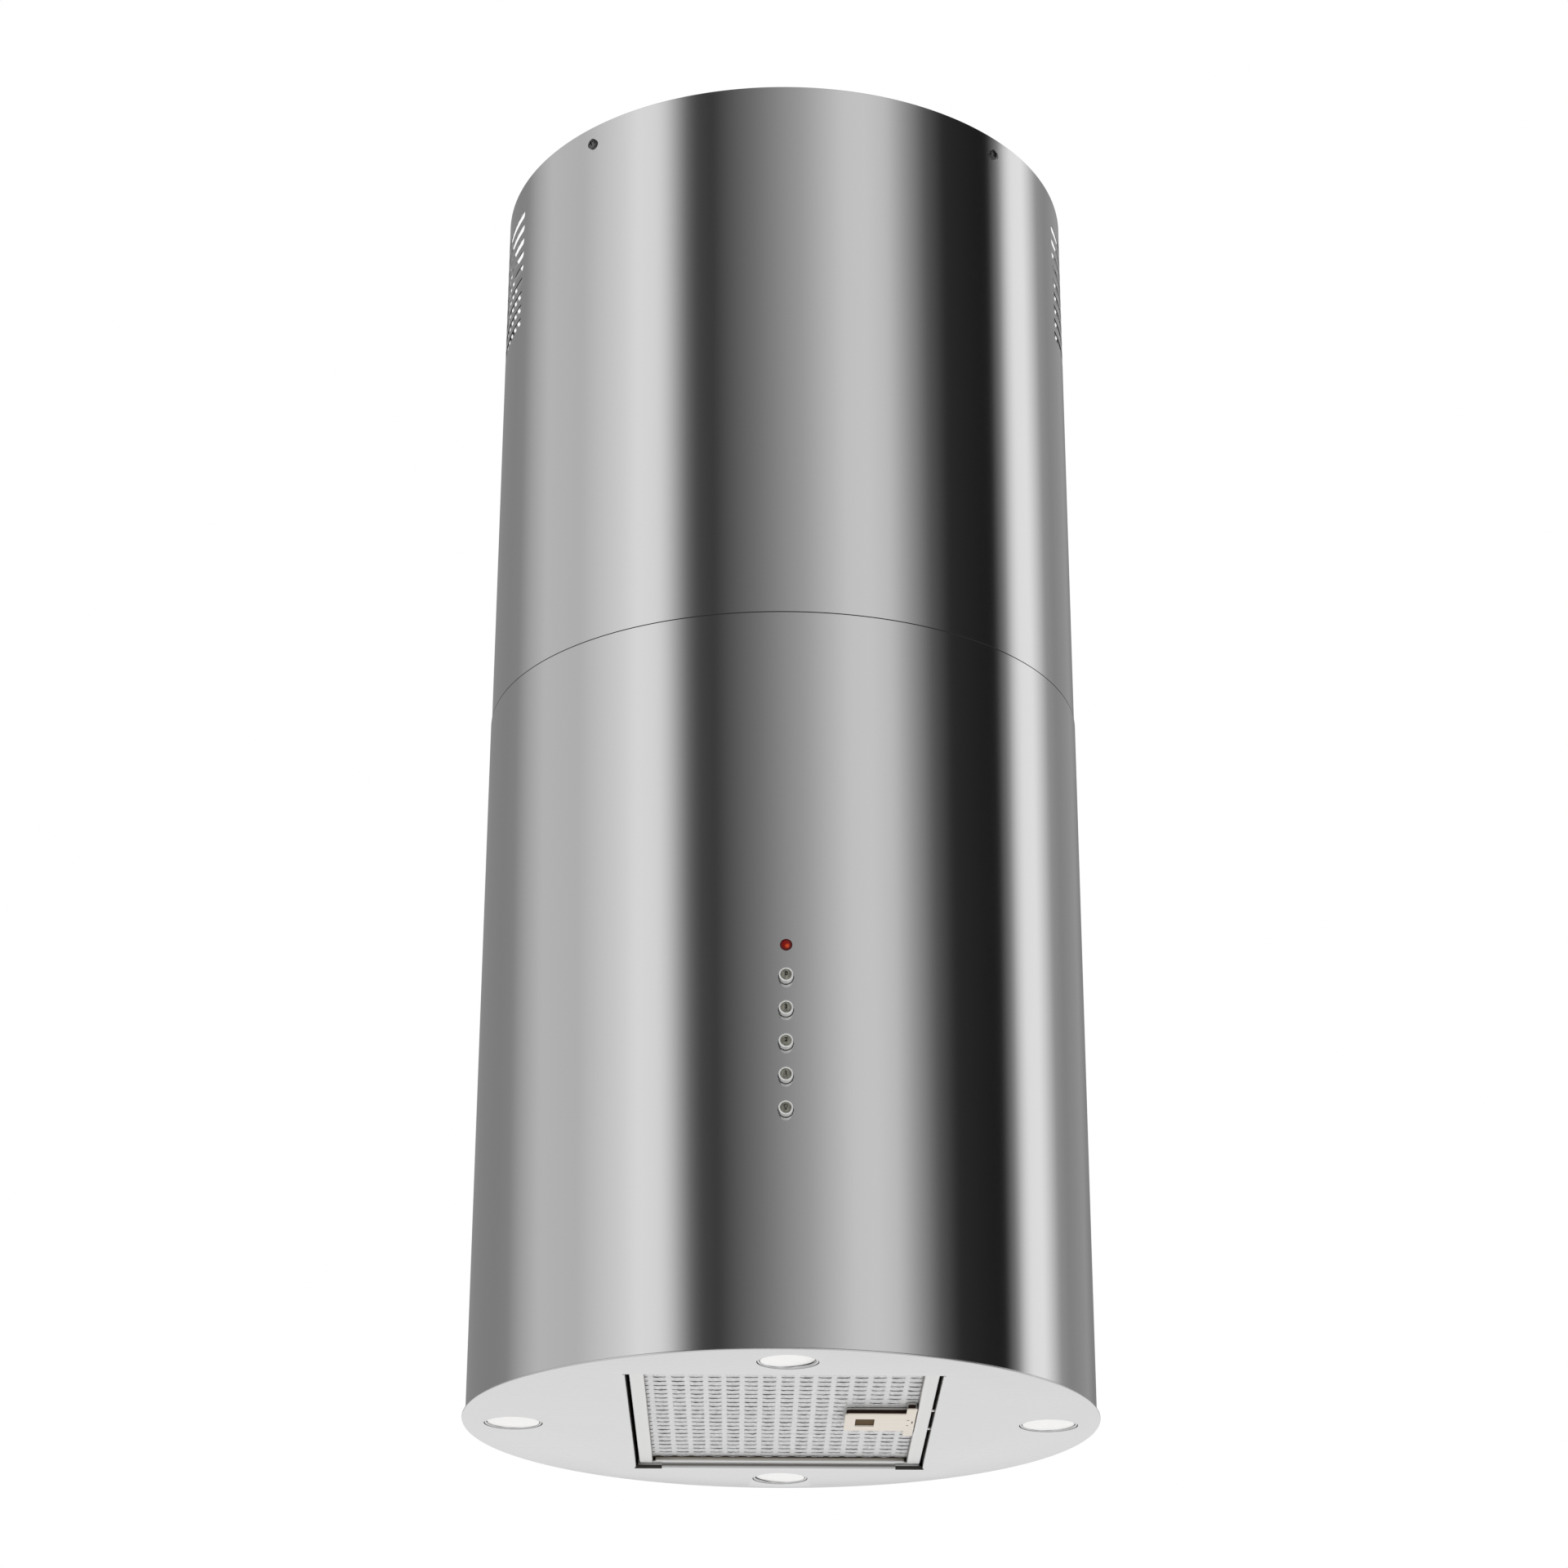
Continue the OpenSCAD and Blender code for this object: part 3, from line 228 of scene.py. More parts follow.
def bright_metal(finish, tone, roughness, grain_scale=700.0):
    """Plated or rolled metal with light wear."""
    wear = finish.grain(grain_scale, 3.0)
    smudge = finish.grain(60.0, 2.0)
    finish.surface(
        base_color=finish.blend(wear, tint(tone - 0.03), tint(tone + 0.02)),
        metallic=1.0,
        roughness=roughness + 0.05 * (wear - 0.5) + 0.06 * (smudge - 0.5),
        normal=finish.relief(wear, 0.000002),
    )


def moulded(finish, colour, roughness, pits=0.00002, gloss=0.5):
    """Moulded plastic or rubber: fine spark-eroded grain and slight clouding."""
    grain = finish.grain(1800.0, 3.0)
    clouds = finish.grain(40.0, 2.0)
    dark = tint(*[0.88 * part for part in colour])
    light = tint(*[min(1.0, 1.08 * part) for part in colour])
    finish.surface(
        base_color=finish.blend(clouds, dark, light),
        roughness=roughness + 0.12 * (grain - 0.5),
        specular_ior_level=gloss,
        normal=finish.relief(grain, pits),
    )


def painted(finish, colour, roughness):
    """Stove enamel with its orange peel."""
    peel = finish.grain(420.0, 1.0)
    clouds = finish.grain(22.0, 2.0)
    finish.surface(
        base_color=finish.blend(clouds, tint(*[0.93 * part for part in colour]), tint(*colour)),
        roughness=roughness + 0.08 * (peel - 0.5),
        coat_weight=0.25,
        coat_roughness=0.2,
        normal=finish.relief(peel, 0.00003),
    )


def handle_paint(finish):
    """Warm white enamel, rubbed into faint streaks along the bar."""
    streaks = finish.grain(1.0, 4.0, 0.6, finish.stretched(30.0, 900.0, 300.0))
    peel = finish.grain(500.0, 1.0)
    finish.surface(
        base_color=finish.blend(streaks.ramp(0.35, 0.7), tint(0.87, 0.79, 0.69), tint(0.8, 0.74, 0.645)),
        roughness=0.42 + 0.1 * (peel - 0.5),
        specular_ior_level=0.3,
        normal=finish.relief(peel, 0.00001),
    )


def circuit_board(finish):
    """Green lacquer over copper tracks."""
    tracks = finish.add(
        "ShaderNodeTexBrick",
        None,
        {"Vector": finish.place(), "Scale": 90.0, "Mortar Size": 0.05},
        "Fac",
    )
    finish.surface(
        base_color=finish.blend(tracks, tint(0.02, 0.2, 0.07), tint(0.09, 0.36, 0.13)),
        roughness=0.3 + 0.1 * tracks,
        coat_weight=0.4,
    )


def ribbed_ribbon(finish):
    """Grey flat cable with its parallel cores."""
    core_pitch = 1.27 * MM
    ribs = (finish.parts(finish.place())[0] * (TURN / core_pitch)).maths("SINE")
    finish.surface(
        base_color=finish.blend(ribs, tint(0.42), tint(0.62)),
        roughness=0.55 + 0.05 * ribs,
        normal=finish.relief(ribs, 0.0002),
    )


def rail_metal(finish):
    """Anodised rails, with painted shade that darkens them to brown where they meet the mesh."""
    wear = finish.grain(500.0, 3.0)
    # Painted shade: darker and browner towards the mesh, in the corner where rail and mesh meet.
    shade_near_mesh = finish.parts(finish.place())[2].ramp(RAIL_SHADE_START, RAIL_SHADE_FULL)
    metal = finish.blend(wear, tint(0.73, 0.73, 0.72), tint(0.79, 0.785, 0.775))
    finish.surface(
        base_color=finish.blend(shade_near_mesh, metal, tint(0.33, 0.3, 0.25)),
        metallic=1.0,
        roughness=0.38 + 0.08 * (wear - 0.5) + 0.15 * shade_near_mesh,
        normal=finish.relief(wear, 0.000003),
    )


def mesh_metal(finish):
    """Lanced aluminium foil: bright, with a fine mottle of oil, and streaked with painted glints and painted
    shade where the louvres are pressed.
    """
    step = (finish.parts(finish.place())[0] - PATTERN_X) / PITCH_X + 0.5
    aside = (step.maths("FRACT") - 0.5).absolute() * PITCH_X
    worked = aside.ramp(LOUVRE_L / 2 + 0.3 * MM, LOUVRE_L / 2 - 0.3 * MM)
    mottle = finish.grain(620.0, 4.0, 0.7).ramp(0.34, 0.62)
    streaks = finish.grain(1.0, 4.0, 0.7, finish.stretched(500.0, 900.0, 500.0)).ramp(0.36, 0.64)
    dents = finish.grain(380.0)
    flat = finish.blend(mottle, tint(0.66, 0.66, 0.665), tint(0.76, 0.76, 0.755))
    # Painted glints and painted shade: streaks from dark to bright grey over the pressed louvres.
    painted_glints = finish.blend(streaks, tint(0.49, 0.49, 0.5), tint(0.84, 0.84, 0.835))
    finish.surface(
        base_color=finish.blend(worked, flat, painted_glints),
        metallic=0.35,
        roughness=0.5 - 0.12 * mottle,
        normal=finish.relief(dents, 0.00006),
    )


def button_plating(finish):
    """White satin nickel, which scatters most of its light."""
    wear = finish.grain(900.0, 3.0)
    finish.surface(
        base_color=finish.blend(wear, tint(0.8, 0.8, 0.79), tint(0.93, 0.93, 0.92)),
        metallic=0.7,
        roughness=0.16 + 0.08 * (wear - 0.5),
        coat_weight=0.5,
        coat_roughness=0.05,
    )


def lamp_glass(finish):
    """Frosted white cover with a fine etched grain."""
    etching = finish.grain(1400.0, 3.0)
    clouds = finish.grain(160.0, 2.0)
    finish.surface(
        base_color=finish.blend(clouds, tint(0.97, 0.96, 0.945), tint(0.99, 0.985, 0.975)),
        roughness=0.38 + 0.1 * (etching - 0.5),
        normal=finish.relief(etching, 0.00001),
        emission_color=tint(1.0, 0.98, 0.95),
        emission_strength=0.04,
    )


def dark_red_lens(finish):
    """Clear dark red plastic, with painted light: a painted glow at its middle, a painted orange highlight
    below and beside it, and painted shade that makes its rim nearly black.
    """
    x, _, z = finish.parts(finish.place())
    level = z - LENS_LEVEL
    reach = (x * x + level * level) ** 0.5
    # Painted shade towards the rim, and a painted glow with an orange painted highlight near the middle.
    painted_rim_shade = reach.ramp(1.4 * MM, 3.6 * MM)
    aside, under = x - 0.7 * MM, level + 0.9 * MM
    highlight_reach = (aside * aside + under * under) ** 0.5
    painted_glow = finish.blend(highlight_reach.ramp(0.0, 1.9 * MM), tint(0.62, 0.075, 0.014), tint(0.19, 0.005, 0.003))
    finish.surface(
        base_color=finish.blend(painted_rim_shade, painted_glow, tint(0.05, 0.003, 0.003)),
        roughness=0.22,
        specular_ior_level=0.2,
    )


def button_face(finish):
    """Dull grey-olive inlay, turned, so that it shows uneven streaks."""
    streaks = finish.grain(1.0, 4.0, 0.65, finish.stretched(700.0, 200.0, 260.0))
    finish.surface(
        base_color=finish.blend(streaks.ramp(0.3, 0.7), tint(0.095, 0.093, 0.075), tint(0.25, 0.245, 0.205)),
        metallic=0.2,
        roughness=0.5 + 0.12 * (streaks - 0.5),
    )


FINISHES = {name: material(name, recipe, *values) for name, recipe, *values in (
    ("satin_steel", satin_steel, 0.66, 0.11, 0.0000004),
    ("zinc_steel", zinc_sheet, 0.66),
    ("screw_steel", bright_metal, 0.5, 0.26),
    ("rubber_black", moulded, (0.03, 0.03, 0.03), 0.7, 0.00004),
    ("scroll_plastic", moulded, (0.09, 0.095, 0.1), 0.5, 0.00004),
    ("motor_shell", painted, (0.16, 0.175, 0.19), 0.4),
    ("white_plastic", moulded, (0.76, 0.76, 0.73), 0.45),
    ("switch_plastic", moulded, (0.022, 0.022, 0.024), 0.45),
    ("red_lens", dark_red_lens),
    ("ribbon_grey", ribbed_ribbon),
    ("board_green", circuit_board),
    ("lamp_aluminium", bright_metal, 0.7, 0.42, 300.0),
    ("cable_black", moulded, (0.035, 0.035, 0.037), 0.5),
    ("impeller_aluminium", bright_metal, 0.66, 0.36),
    ("filter_aluminium", rail_metal),
    ("filter_mesh", mesh_metal),
    ("handle_cream", handle_paint),
    ("latch_brown", moulded, (0.12, 0.082, 0.04), 0.6, 0.00002, 0.02),
    ("bezel_chrome", bright_metal, 0.62, 0.2),
    ("lens_frosted", lamp_glass),
    ("button_chrome", button_plating),
)}
BASE_STEEL = material("base_plate_steel", plate_steel, 0.655, 0.28)
BUTTON_FACE = material("button_face", button_face)
DIGIT_INK = material("digit_ink", moulded, (0.006, 0.006, 0.005), 0.9, gloss=0.1)
# Near-black for the handle's core: painted shade under the cover.
HANDLE_CORE_SHADE = material("handle_core_shade", moulded, (0.022, 0.013, 0.009), 0.7, gloss=0.05)
# Near-black for the strip under the rails' lips: painted shade in the gap at the sheet's edge.
GAP_SHADE_BROWN = material("gap_shade_brown", moulded, (0.05, 0.036, 0.028), 0.9, gloss=0.1)
# Near-black linings for the corner reliefs: painted shade where one looks into them.
RELIEF_SHADE_GREY = material("relief_shade_grey", moulded, (0.05, 0.046, 0.042), 0.8, gloss=0.1)
# Near-black for the lip between the tubes: painted shade in the seam.
SEAM_SHADE_GREY = material("seam_shade_grey", moulded, (0.03, 0.03, 0.03), 0.8, gloss=0.0)
# Grey strips along the end flanges: painted shade where the filter meets the bend.
FLANGE_SHADE_GREY = material("flange_shade_grey", moulded, (0.23, 0.22, 0.21), 0.9, gloss=0.1)
# Grey for the riser over the handle: painted shade between the cover and the mesh.
RISER_SHADE_GREY = material("riser_shade_grey", moulded, (0.4, 0.39, 0.37), 0.7, gloss=0.1)
LAMP_SEAT = material("lamp_seat_grey", bright_metal, 0.12, 0.45)
DARK_SCREW = material("dark_screw", bright_metal, 0.13, 0.22)
# Darkened steel for the filter brackets: painted shade where they show in the corner relief.
BRACKET_SHADE_STEEL = material("bracket_shade_steel", bright_metal, 0.16, 0.5)


# ---- shaping ----

def add_lathe(stock, profile, sides, place=Matrix(), closed=True):
    """Turns (radius, height) points about Z. A point on the axis stays one vertex."""
    rings = []
    for radius, height in profile:
        if radius < 1e-9:
            rings.append([stock.verts.new(place @ Vector((0, 0, height)))] * sides)
            continue
        turned = []
        for i in range(sides):
            angle = TURN * i / sides
            corner = Vector((radius * math.cos(angle), radius * math.sin(angle), height))
            turned.append(stock.verts.new(place @ corner))
        rings.append(turned)
    skin(stock, rings, closed)


def skin(stock, rings, closed):
    """Joins each ring of vertices to the next, and the last to the first if closed."""
    pairs = list(zip(rings, rings[1:]))
    if closed:
        pairs.append((rings[-1], rings[0]))
    for low, high in pairs:
        for i in range(len(low)):
            k = (i + 1) % len(low)
            corners = []
            for corner in (low[i], low[k], high[k], high[i]):
                if corner not in corners:
                    corners.append(corner)
            if len(corners) > 2:
                stock.faces.new(corners)


def join_rings(stock, rings):
    """Joins a row of rings and caps its ends."""
    skin(stock, rings, closed=False)
    stock.faces.new(list(reversed(rings[0])))
    stock.faces.new(rings[-1])


def add_prism(stock, outline, z0, z1, place=Matrix(), bevel=0.0):
    """Raises a flat outline from z0 to z1, with an even bevel along its rims if wanted."""
    levels = [(0.0, z0), (0.0, z1)]
    if bevel:
        levels = [(bevel, z0), (0.3 * bevel, z0 + 0.3 * bevel), (0.0, z0 + bevel)]
        levels += [(0.0, z1 - bevel), (0.3 * bevel, z1 - 0.3 * bevel), (bevel, z1)]
    rings = []
    for inset, z in levels:
        ring = shrunk(outline, inset) if inset else outline
        rings.append([stock.verts.new(place @ Vector((x, y, z))) for x, y in ring])
    join_rings(stock, rings)


def shrunk(outline, inset):
    """The outline, which runs anticlockwise, moved inwards along its corners."""
    moved = []
    count = len(outline)
    for i in range(count):
        before, here, after = (Vector(outline[(i + step) % count]) for step in (-1, 0, 1))
        into = (here - before).normalized()
        out = (after - here).normalized()
        side_in = Vector((-into.y, into.x))
        side_out = Vector((-out.y, out.x))
        lean = (side_in + side_out).normalized()
        moved.append(tuple(here + lean * (inset / max(0.3, lean.dot(side_in)))))
    return moved


def arc(x, y, radius, start, end, steps):
    """Points on a circle between two angles in degrees, with both ends."""
    angles = [math.radians(start + (end - start) * i / steps) for i in range(steps + 1)]
    return [(x + radius * math.cos(a), y + radius * math.sin(a)) for a in angles]


def rectangle(x0, x1, y0, y1, radius=0.0, steps=6):
    """An anticlockwise rectangle, with rounded corners if wanted."""
    if not radius:
        return [(x0, y0), (x1, y0), (x1, y1), (x0, y1)]
    outline = arc(x1 - radius, y0 + radius, radius, -90, 0, steps)
    outline += arc(x1 - radius, y1 - radius, radius, 0, 90, steps)
    outline += arc(x0 + radius, y1 - radius, radius, 90, 180, steps)
    outline += arc(x0 + radius, y0 + radius, radius, 180, 270, steps)
    return outline


def round_outline(radius, sides, x=0.0, y=0.0):
    return arc(x, y, radius, 0, 360, sides)[:-1]


def as_mesh(name, stock):
    mesh = bpy.data.meshes.new(name)
    stock.to_mesh(mesh)
    stock.free()
    return mesh


def shaped(stock):
    """Closes a stock into a mesh with outward faces."""
    bmesh.ops.recalc_face_normals(stock, faces=stock.faces[:])
    return as_mesh("shape", stock)


def smoothed(mesh, sharp=35):
    mesh.shade_smooth()
    mesh.set_sharp_from_angle(angle=math.radians(sharp))
    return mesh


def radial_normals(mesh):
    """Gives round walls a cylinder's exact normals, so that reflections run evenly past the cuts."""
    normals = []
    for face in mesh.polygons:
        for corner in face.loop_indices:
            at = mesh.vertices[mesh.loops[corner].vertex_index].co
            outward = Vector((at.x, at.y, 0)).normalized()
            lean = face.normal.dot(outward)
            if abs(lean) > 0.99:
                normals.append(outward * math.copysign(1, lean))
            else:
                normals.append(face.normal.copy())
    mesh.normals_split_custom_set(normals)
    return mesh


def put(name, data):
    """A new object of this data in the scene."""
    thing = bpy.data.objects.new(name, data)
    bpy.context.scene.collection.objects.link(thing)
    return thing


def baked(thing):
    """The mesh of an object with its modifiers applied. The object itself goes."""
    depsgraph = bpy.context.evaluated_depsgraph_get()
    mesh = bpy.data.meshes.new_from_object(thing.evaluated_get(depsgraph))
    bpy.data.objects.remove(thing)
    return mesh


def cut(mesh, tool):
    """The mesh with the tool's shape cut out of it."""
    work, cutter = put("work", mesh), put("cutter", tool)
    boolean = work.modifiers.new("cut", "BOOLEAN")
    boolean.operation = "DIFFERENCE"
    boolean.solver = "EXACT"
    boolean.object = cutter
    shape = baked(work)
    bpy.data.objects.remove(cutter)
    return shape


def fit_piece(name, mesh, body, slot, replaced=(), finish=None):
    """Puts a finished mesh into the scene on the body that carries it."""
    mesh.name = name
    mesh.materials.clear()
    mesh.materials.append(finish or FINISHES[slot])
    piece = put(name, mesh)
    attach(piece, body)
    if replaced:
        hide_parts(*replaced)


# ---- sizes taken from the frame ----

plate_low, plate_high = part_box("bottom_plate")
bottom = plate_low.z
plate_r = min(plate_high.x, -plate_low.x, plate_high.y, -plate_low.y)
plate_t = 1.2 * MM
lower_low, lower_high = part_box("lower_tube")
tube_r = lower_high.x
seam = lower_high.z
upper_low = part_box("upper_tube")[0]
upper_r = tube_r - 0.5 * MM
LOWER_WALL, UPPER_WALL = 0.4 * MM, 0.6 * MM
TUBE_SIDES = 720
# Distances from the tubes' axis between which a cutter passes through their walls.
TOOL_NEAR, TOOL_FAR = 0.15, 0.25
UPPER_TURN = math.radians(1.85)


# ---- tubes ----

button_heights = [bottom + (138.5 * MM + 20 * MM * i) for i in range(5)]
lens_height = bottom + 238.5 * MM
BUTTON_HOLE_R, LENS_HOLE_R = 4.6 * MM, 3.6 * MM
VENT_ROWS, VENT_PITCH, VENT_H = 9, 10.25 * MM, 5.2 * MM
VENT_DROP, VENT_REACH, VENT_WEB = 24 * MM, 67 * MM, 10 * MM


def along_x(y, z):
    """Stands a prism's outline in the Y-Z plane, so that it runs along X."""
    stood = Matrix(((0, 0, 1, 0), (1, 0, 0, 0), (0, 1, 0, 0), (0, 0, 0, 1)))
    return Matrix.Translation((0, y, z)) @ stood


def facing_front(y=0.0, z=0.0):
    """Lays the X-Y plane upright in front of the tube: Z then points along -Y."""
    return Matrix.Translation((0, y, z)) @ Matrix.Rotation(math.radians(90), 4, "X")


def make_lower_tube():
    stock = bmesh.new()
    inner = tube_r - LOWER_WALL
    profile = [(tube_r, lower_low.z), (tube_r, seam), (inner, seam), (inner, lower_low.z)]
    add_lathe(stock, profile, TUBE_SIDES)
    tool = bmesh.new()
    holes = [(height, BUTTON_HOLE_R) for height in button_heights] + [(lens_height, LENS_HOLE_R)]
    for height, radius in holes:
        at = facing_front(z=height)
        add_prism(tool, round_outline(radius, 64), TOOL_NEAR, TOOL_FAR, at)
    mesh = radial_normals(cut(shaped(stock), shaped(tool)))
    fit_piece("lower_tube_shell", mesh, "hood", "satin_steel", ["lower_tube"])


def make_seam_shade_ring():
    """The dark lip of a strip between the tubes, whose near-black is painted shade in the seam."""
    stock = bmesh.new()
    play, height, soft = 0.06 * MM, 0.75 * MM, 0.1 * MM
    ring_in, ring_out = upper_r + play, tube_r - play
    profile = [(ring_in, seam), (ring_out, seam), (ring_out, seam + height - soft)]
    profile += [(ring_out - soft, seam + height), (ring_in, seam + height)]
    add_lathe(stock, profile, TUBE_SIDES)
    fit_piece("seam_shade_ring", smoothed(shaped(stock), 60), "hood", "rubber_black", finish=SEAM_SHADE_GREY)


def make_upper_tube():
    stock = bmesh.new()
    turned = Matrix.Rotation(UPPER_TURN, 4, "Z")
    inner, soft = upper_r - UPPER_WALL, 0.25 * MM
    profile = [(upper_r, upper_low.z)] + arc(upper_r - soft, -soft, soft, 0, 90, 4)
    profile += [(inner, 0), (inner, upper_low.z)]
    add_lathe(stock, profile, TUBE_SIDES, turned)
    tool = bmesh.new()
    length = VENT_REACH - VENT_WEB / 2
    middle = (VENT_REACH + VENT_WEB / 2) / 2
    slot = rectangle(-length / 2, length / 2, -VENT_H / 2, VENT_H / 2, VENT_H / 2 * 0.999, 8)
    for row in range(VENT_ROWS):
        for side in (-1, 1):
            at = along_x(side * middle, -VENT_DROP - row * VENT_PITCH)
            add_prism(tool, slot, -TOOL_FAR, TOOL_FAR, turned @ at)
    mesh = radial_normals(cut(shaped(stock), shaped(tool)))
    fit_piece("upper_tube_shell", mesh, "ceiling_frame", "satin_steel", ["upper_tube"])


def make_tube_screws():
    """Pan heads with a cross recess that clamp the upper tube to the ceiling plate."""
    head_r, head_h, drop = 3.5 * MM, 2.2 * MM, 13 * MM
    shank_r, shank_l, seat = 2 * MM, 5 * MM, 0.05 * MM
    for number, angle in enumerate((44, 136, -136, -44), 1):
        turned = Matrix.Rotation(UPPER_TURN + math.radians(angle - 90), 4, "Z")
        out = turned @ Matrix.Translation((upper_r, 0, -drop)) @ Matrix.Rotation(TURN / 4, 4, "Y")
        stock = bmesh.new()
        dome = [(0.0, head_h)]
        for share in (0.3, 0.55, 0.75, 0.9, 0.98):
            dome.append((head_r * share, head_h * (1 - share ** 2 * 0.45)))
        dome += [(head_r, head_h * 0.35), (head_r, seat), (shank_r, seat)]
        dome += [(shank_r, -shank_l), (0, -shank_l)]
        add_lathe(stock, dome, 48, out, closed=False)
        mesh = smoothed(cut(shaped(stock), cross_tool(out)))
        replaced = ["tube_screws"] if number == 1 else []
        fit_piece(f"tube_screw_{number}", mesh, "ceiling_frame", "screw_steel", replaced, finish=DARK_SCREW)


def cross_tool(out):
    """The cross recess of a screw head, as one outline."""
    arm, half = 2.1 * MM, 0.42 * MM
    outline = [
        (half, -arm), (half, -half), (arm, -half), (arm, half), (half, half), (half, arm),
        (-half, arm), (-half, half), (-arm, half), (-arm, -half), (-half, -half), (-half, -arm),
    ]
    tool = bmesh.new()
    add_prism(tool, outline, 1.0 * MM, 3 * MM, out @ Matrix.Rotation(math.radians(25), 4, "Z"))
    return shaped(tool)


# ---- base plate ----

lamp_names = ["right", "rear", "left", "front"]
opening_x, opening_y = 91.4 * MM, 128.9 * MM
RELIEF_L, RELIEF_D = 17 * MM, 2.6 * MM
FLANGE_H, FLANGE_T, BEND_R = 10 * MM, 0.8 * MM, 0.95 * MM
FLANGE_GAP, LAMP_HOLE_R = 1.2 * MM, 17.75 * MM
# The opening's left side and two of the lamps lie this much to the right of an even layout.
LEFT_INSET = 0.7 * MM
LAMP_SHIFTS = {"right": 0.0, "rear": 1.2 * MM, "left": 0.0, "front": 1.9 * MM}


def lamp_place(name):
    low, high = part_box(f"lamp_bezel_{name}")
    return (low.x + high.x) / 2 + LAMP_SHIFTS[name], (low.y + high.y) / 2


def bend_profile():
    """Section of a flange that is bent up from the plate: across, then up."""
    edge = 0.3 * MM
    section = arc(BEND_R, BEND_R, BEND_R, 270, 180, 6)
    section += [(0, FLANGE_H - edge), (edge, FLANGE_H), (FLANGE_T, FLANGE_H)]
    return section + arc(BEND_R, BEND_R, BEND_R - FLANGE_T, 180, 270, 4)


def add_flange(stock, edge, half_length, turn):
    """A bent flange along one side of the opening: edge is its distance from the middle."""
    turned = Matrix.Rotation(turn, 4, "Z")
    ends = []
    for y in (-half_length, half_length):
        corners = [Vector((edge + across, y, bottom + up)) for across, up in bend_profile()]
        ends.append([stock.verts.new(turned @ corner) for corner in corners])
    join_rings(stock, ends)


def make_base_plate():
    stock = bmesh.new()
    soft, half_t = 0.55 * MM, plate_t / 2
    profile = [(0, bottom)]
    for i in range(9):
        angle = -math.pi / 2 + math.pi * i / 8
        across, up = soft * math.cos(angle), half_t * math.sin(angle)
        profile.append((plate_r - soft + across, bottom + half_t + up))
    profile.append((0, bottom + plate_t))
    add_lathe(stock, profile, 480, closed=False)
    tool = bmesh.new()
    outer_x, outer_y = opening_x + BEND_R, opening_y + BEND_R
    left_x, straight_x = outer_x - LEFT_INSET, opening_x - RELIEF_L
    rear_y = opening_y + RELIEF_D
    outline = [
        (outer_x, -outer_y), (outer_x, rear_y), (straight_x, rear_y), (straight_x, outer_y),
        (-straight_x, outer_y), (-straight_x, rear_y), (-left_x, rear_y), (-left_x, -outer_y),
    ]
    below, above = bottom - 5 * MM, bottom + 5 * MM
    add_prism(tool, outline, below, above)
    for name in lamp_names:
        add_prism(tool, round_outline(LAMP_HOLE_R, 96, *lamp_place(name)), below, above)
    cut_plate = cut(shaped(stock), shaped(tool))
    stock = bmesh.new()
    stock.from_mesh(cut_plate)
    for turn, edge in ((0, opening_x), (180, opening_x - LEFT_INSET)):
        add_flange(stock, edge, opening_y - FLANGE_GAP, math.radians(turn))
        add_flange(stock, opening_y, opening_x - LEFT_INSET - FLANGE_GAP, math.radians(turn + 90))
    # The upright ring over which the lower tube fits.
    ring_out, ring_in = tube_r - 0.8 * MM, tube_r - 1.8 * MM
    ring_low, ring_high = bottom + plate_t, bottom + plate_t + 12 * MM
    ring = [(ring_in, ring_low), (ring_out, ring_low), (ring_out, ring_high), (ring_in, ring_high)]
    add_lathe(stock, ring, 240)
    mesh = smoothed(shaped(stock), 40)
    fit_piece("base_plate", mesh, "hood", "satin_steel", ["bottom_plate"], finish=BASE_STEEL)


def make_opening_shade_strips():
    """Grey strips along the end flanges, painted shade where the filter's edge meets the bend, and
    near-black linings in the corner reliefs, painted shade where one looks into them.
    """
    stock, corners = bmesh.new(), bmesh.new()
    reach = opening_x - RELIEF_L
    for side in (-1, 1):
        near, far = sorted((side * (opening_y - 0.4 * MM), side * (opening_y + 0.3 * MM)))
        add_prism(stock, rectangle(-reach, reach, near, far), bottom + 1.4 * MM, bottom + 6 * MM)
    near, far, end = opening_y - 0.15 * MM, opening_y + RELIEF_D, opening_x + 0.7 * MM
    for left, right in ((LEFT_INSET - end, -reach), (reach, end)):
        add_prism(corners, rectangle(left, right, near, far), bottom, bottom + 1.9 * MM)
    fit_piece("flange_shade_strips", shaped(stock), "hood", "rubber_black", finish=FLANGE_SHADE_GREY)
    fit_piece("relief_shade_linings", shaped(corners), "hood", "rubber_black", finish=RELIEF_SHADE_GREY)


# ---- lamps ----

# How far each glass leans in its ring, in degrees: they sit a little askew, the front one most.
LEANS = {"right": -1.0, "rear": 2.2, "left": 1.0, "front": -2.6}
LAMP_SIDES = 96


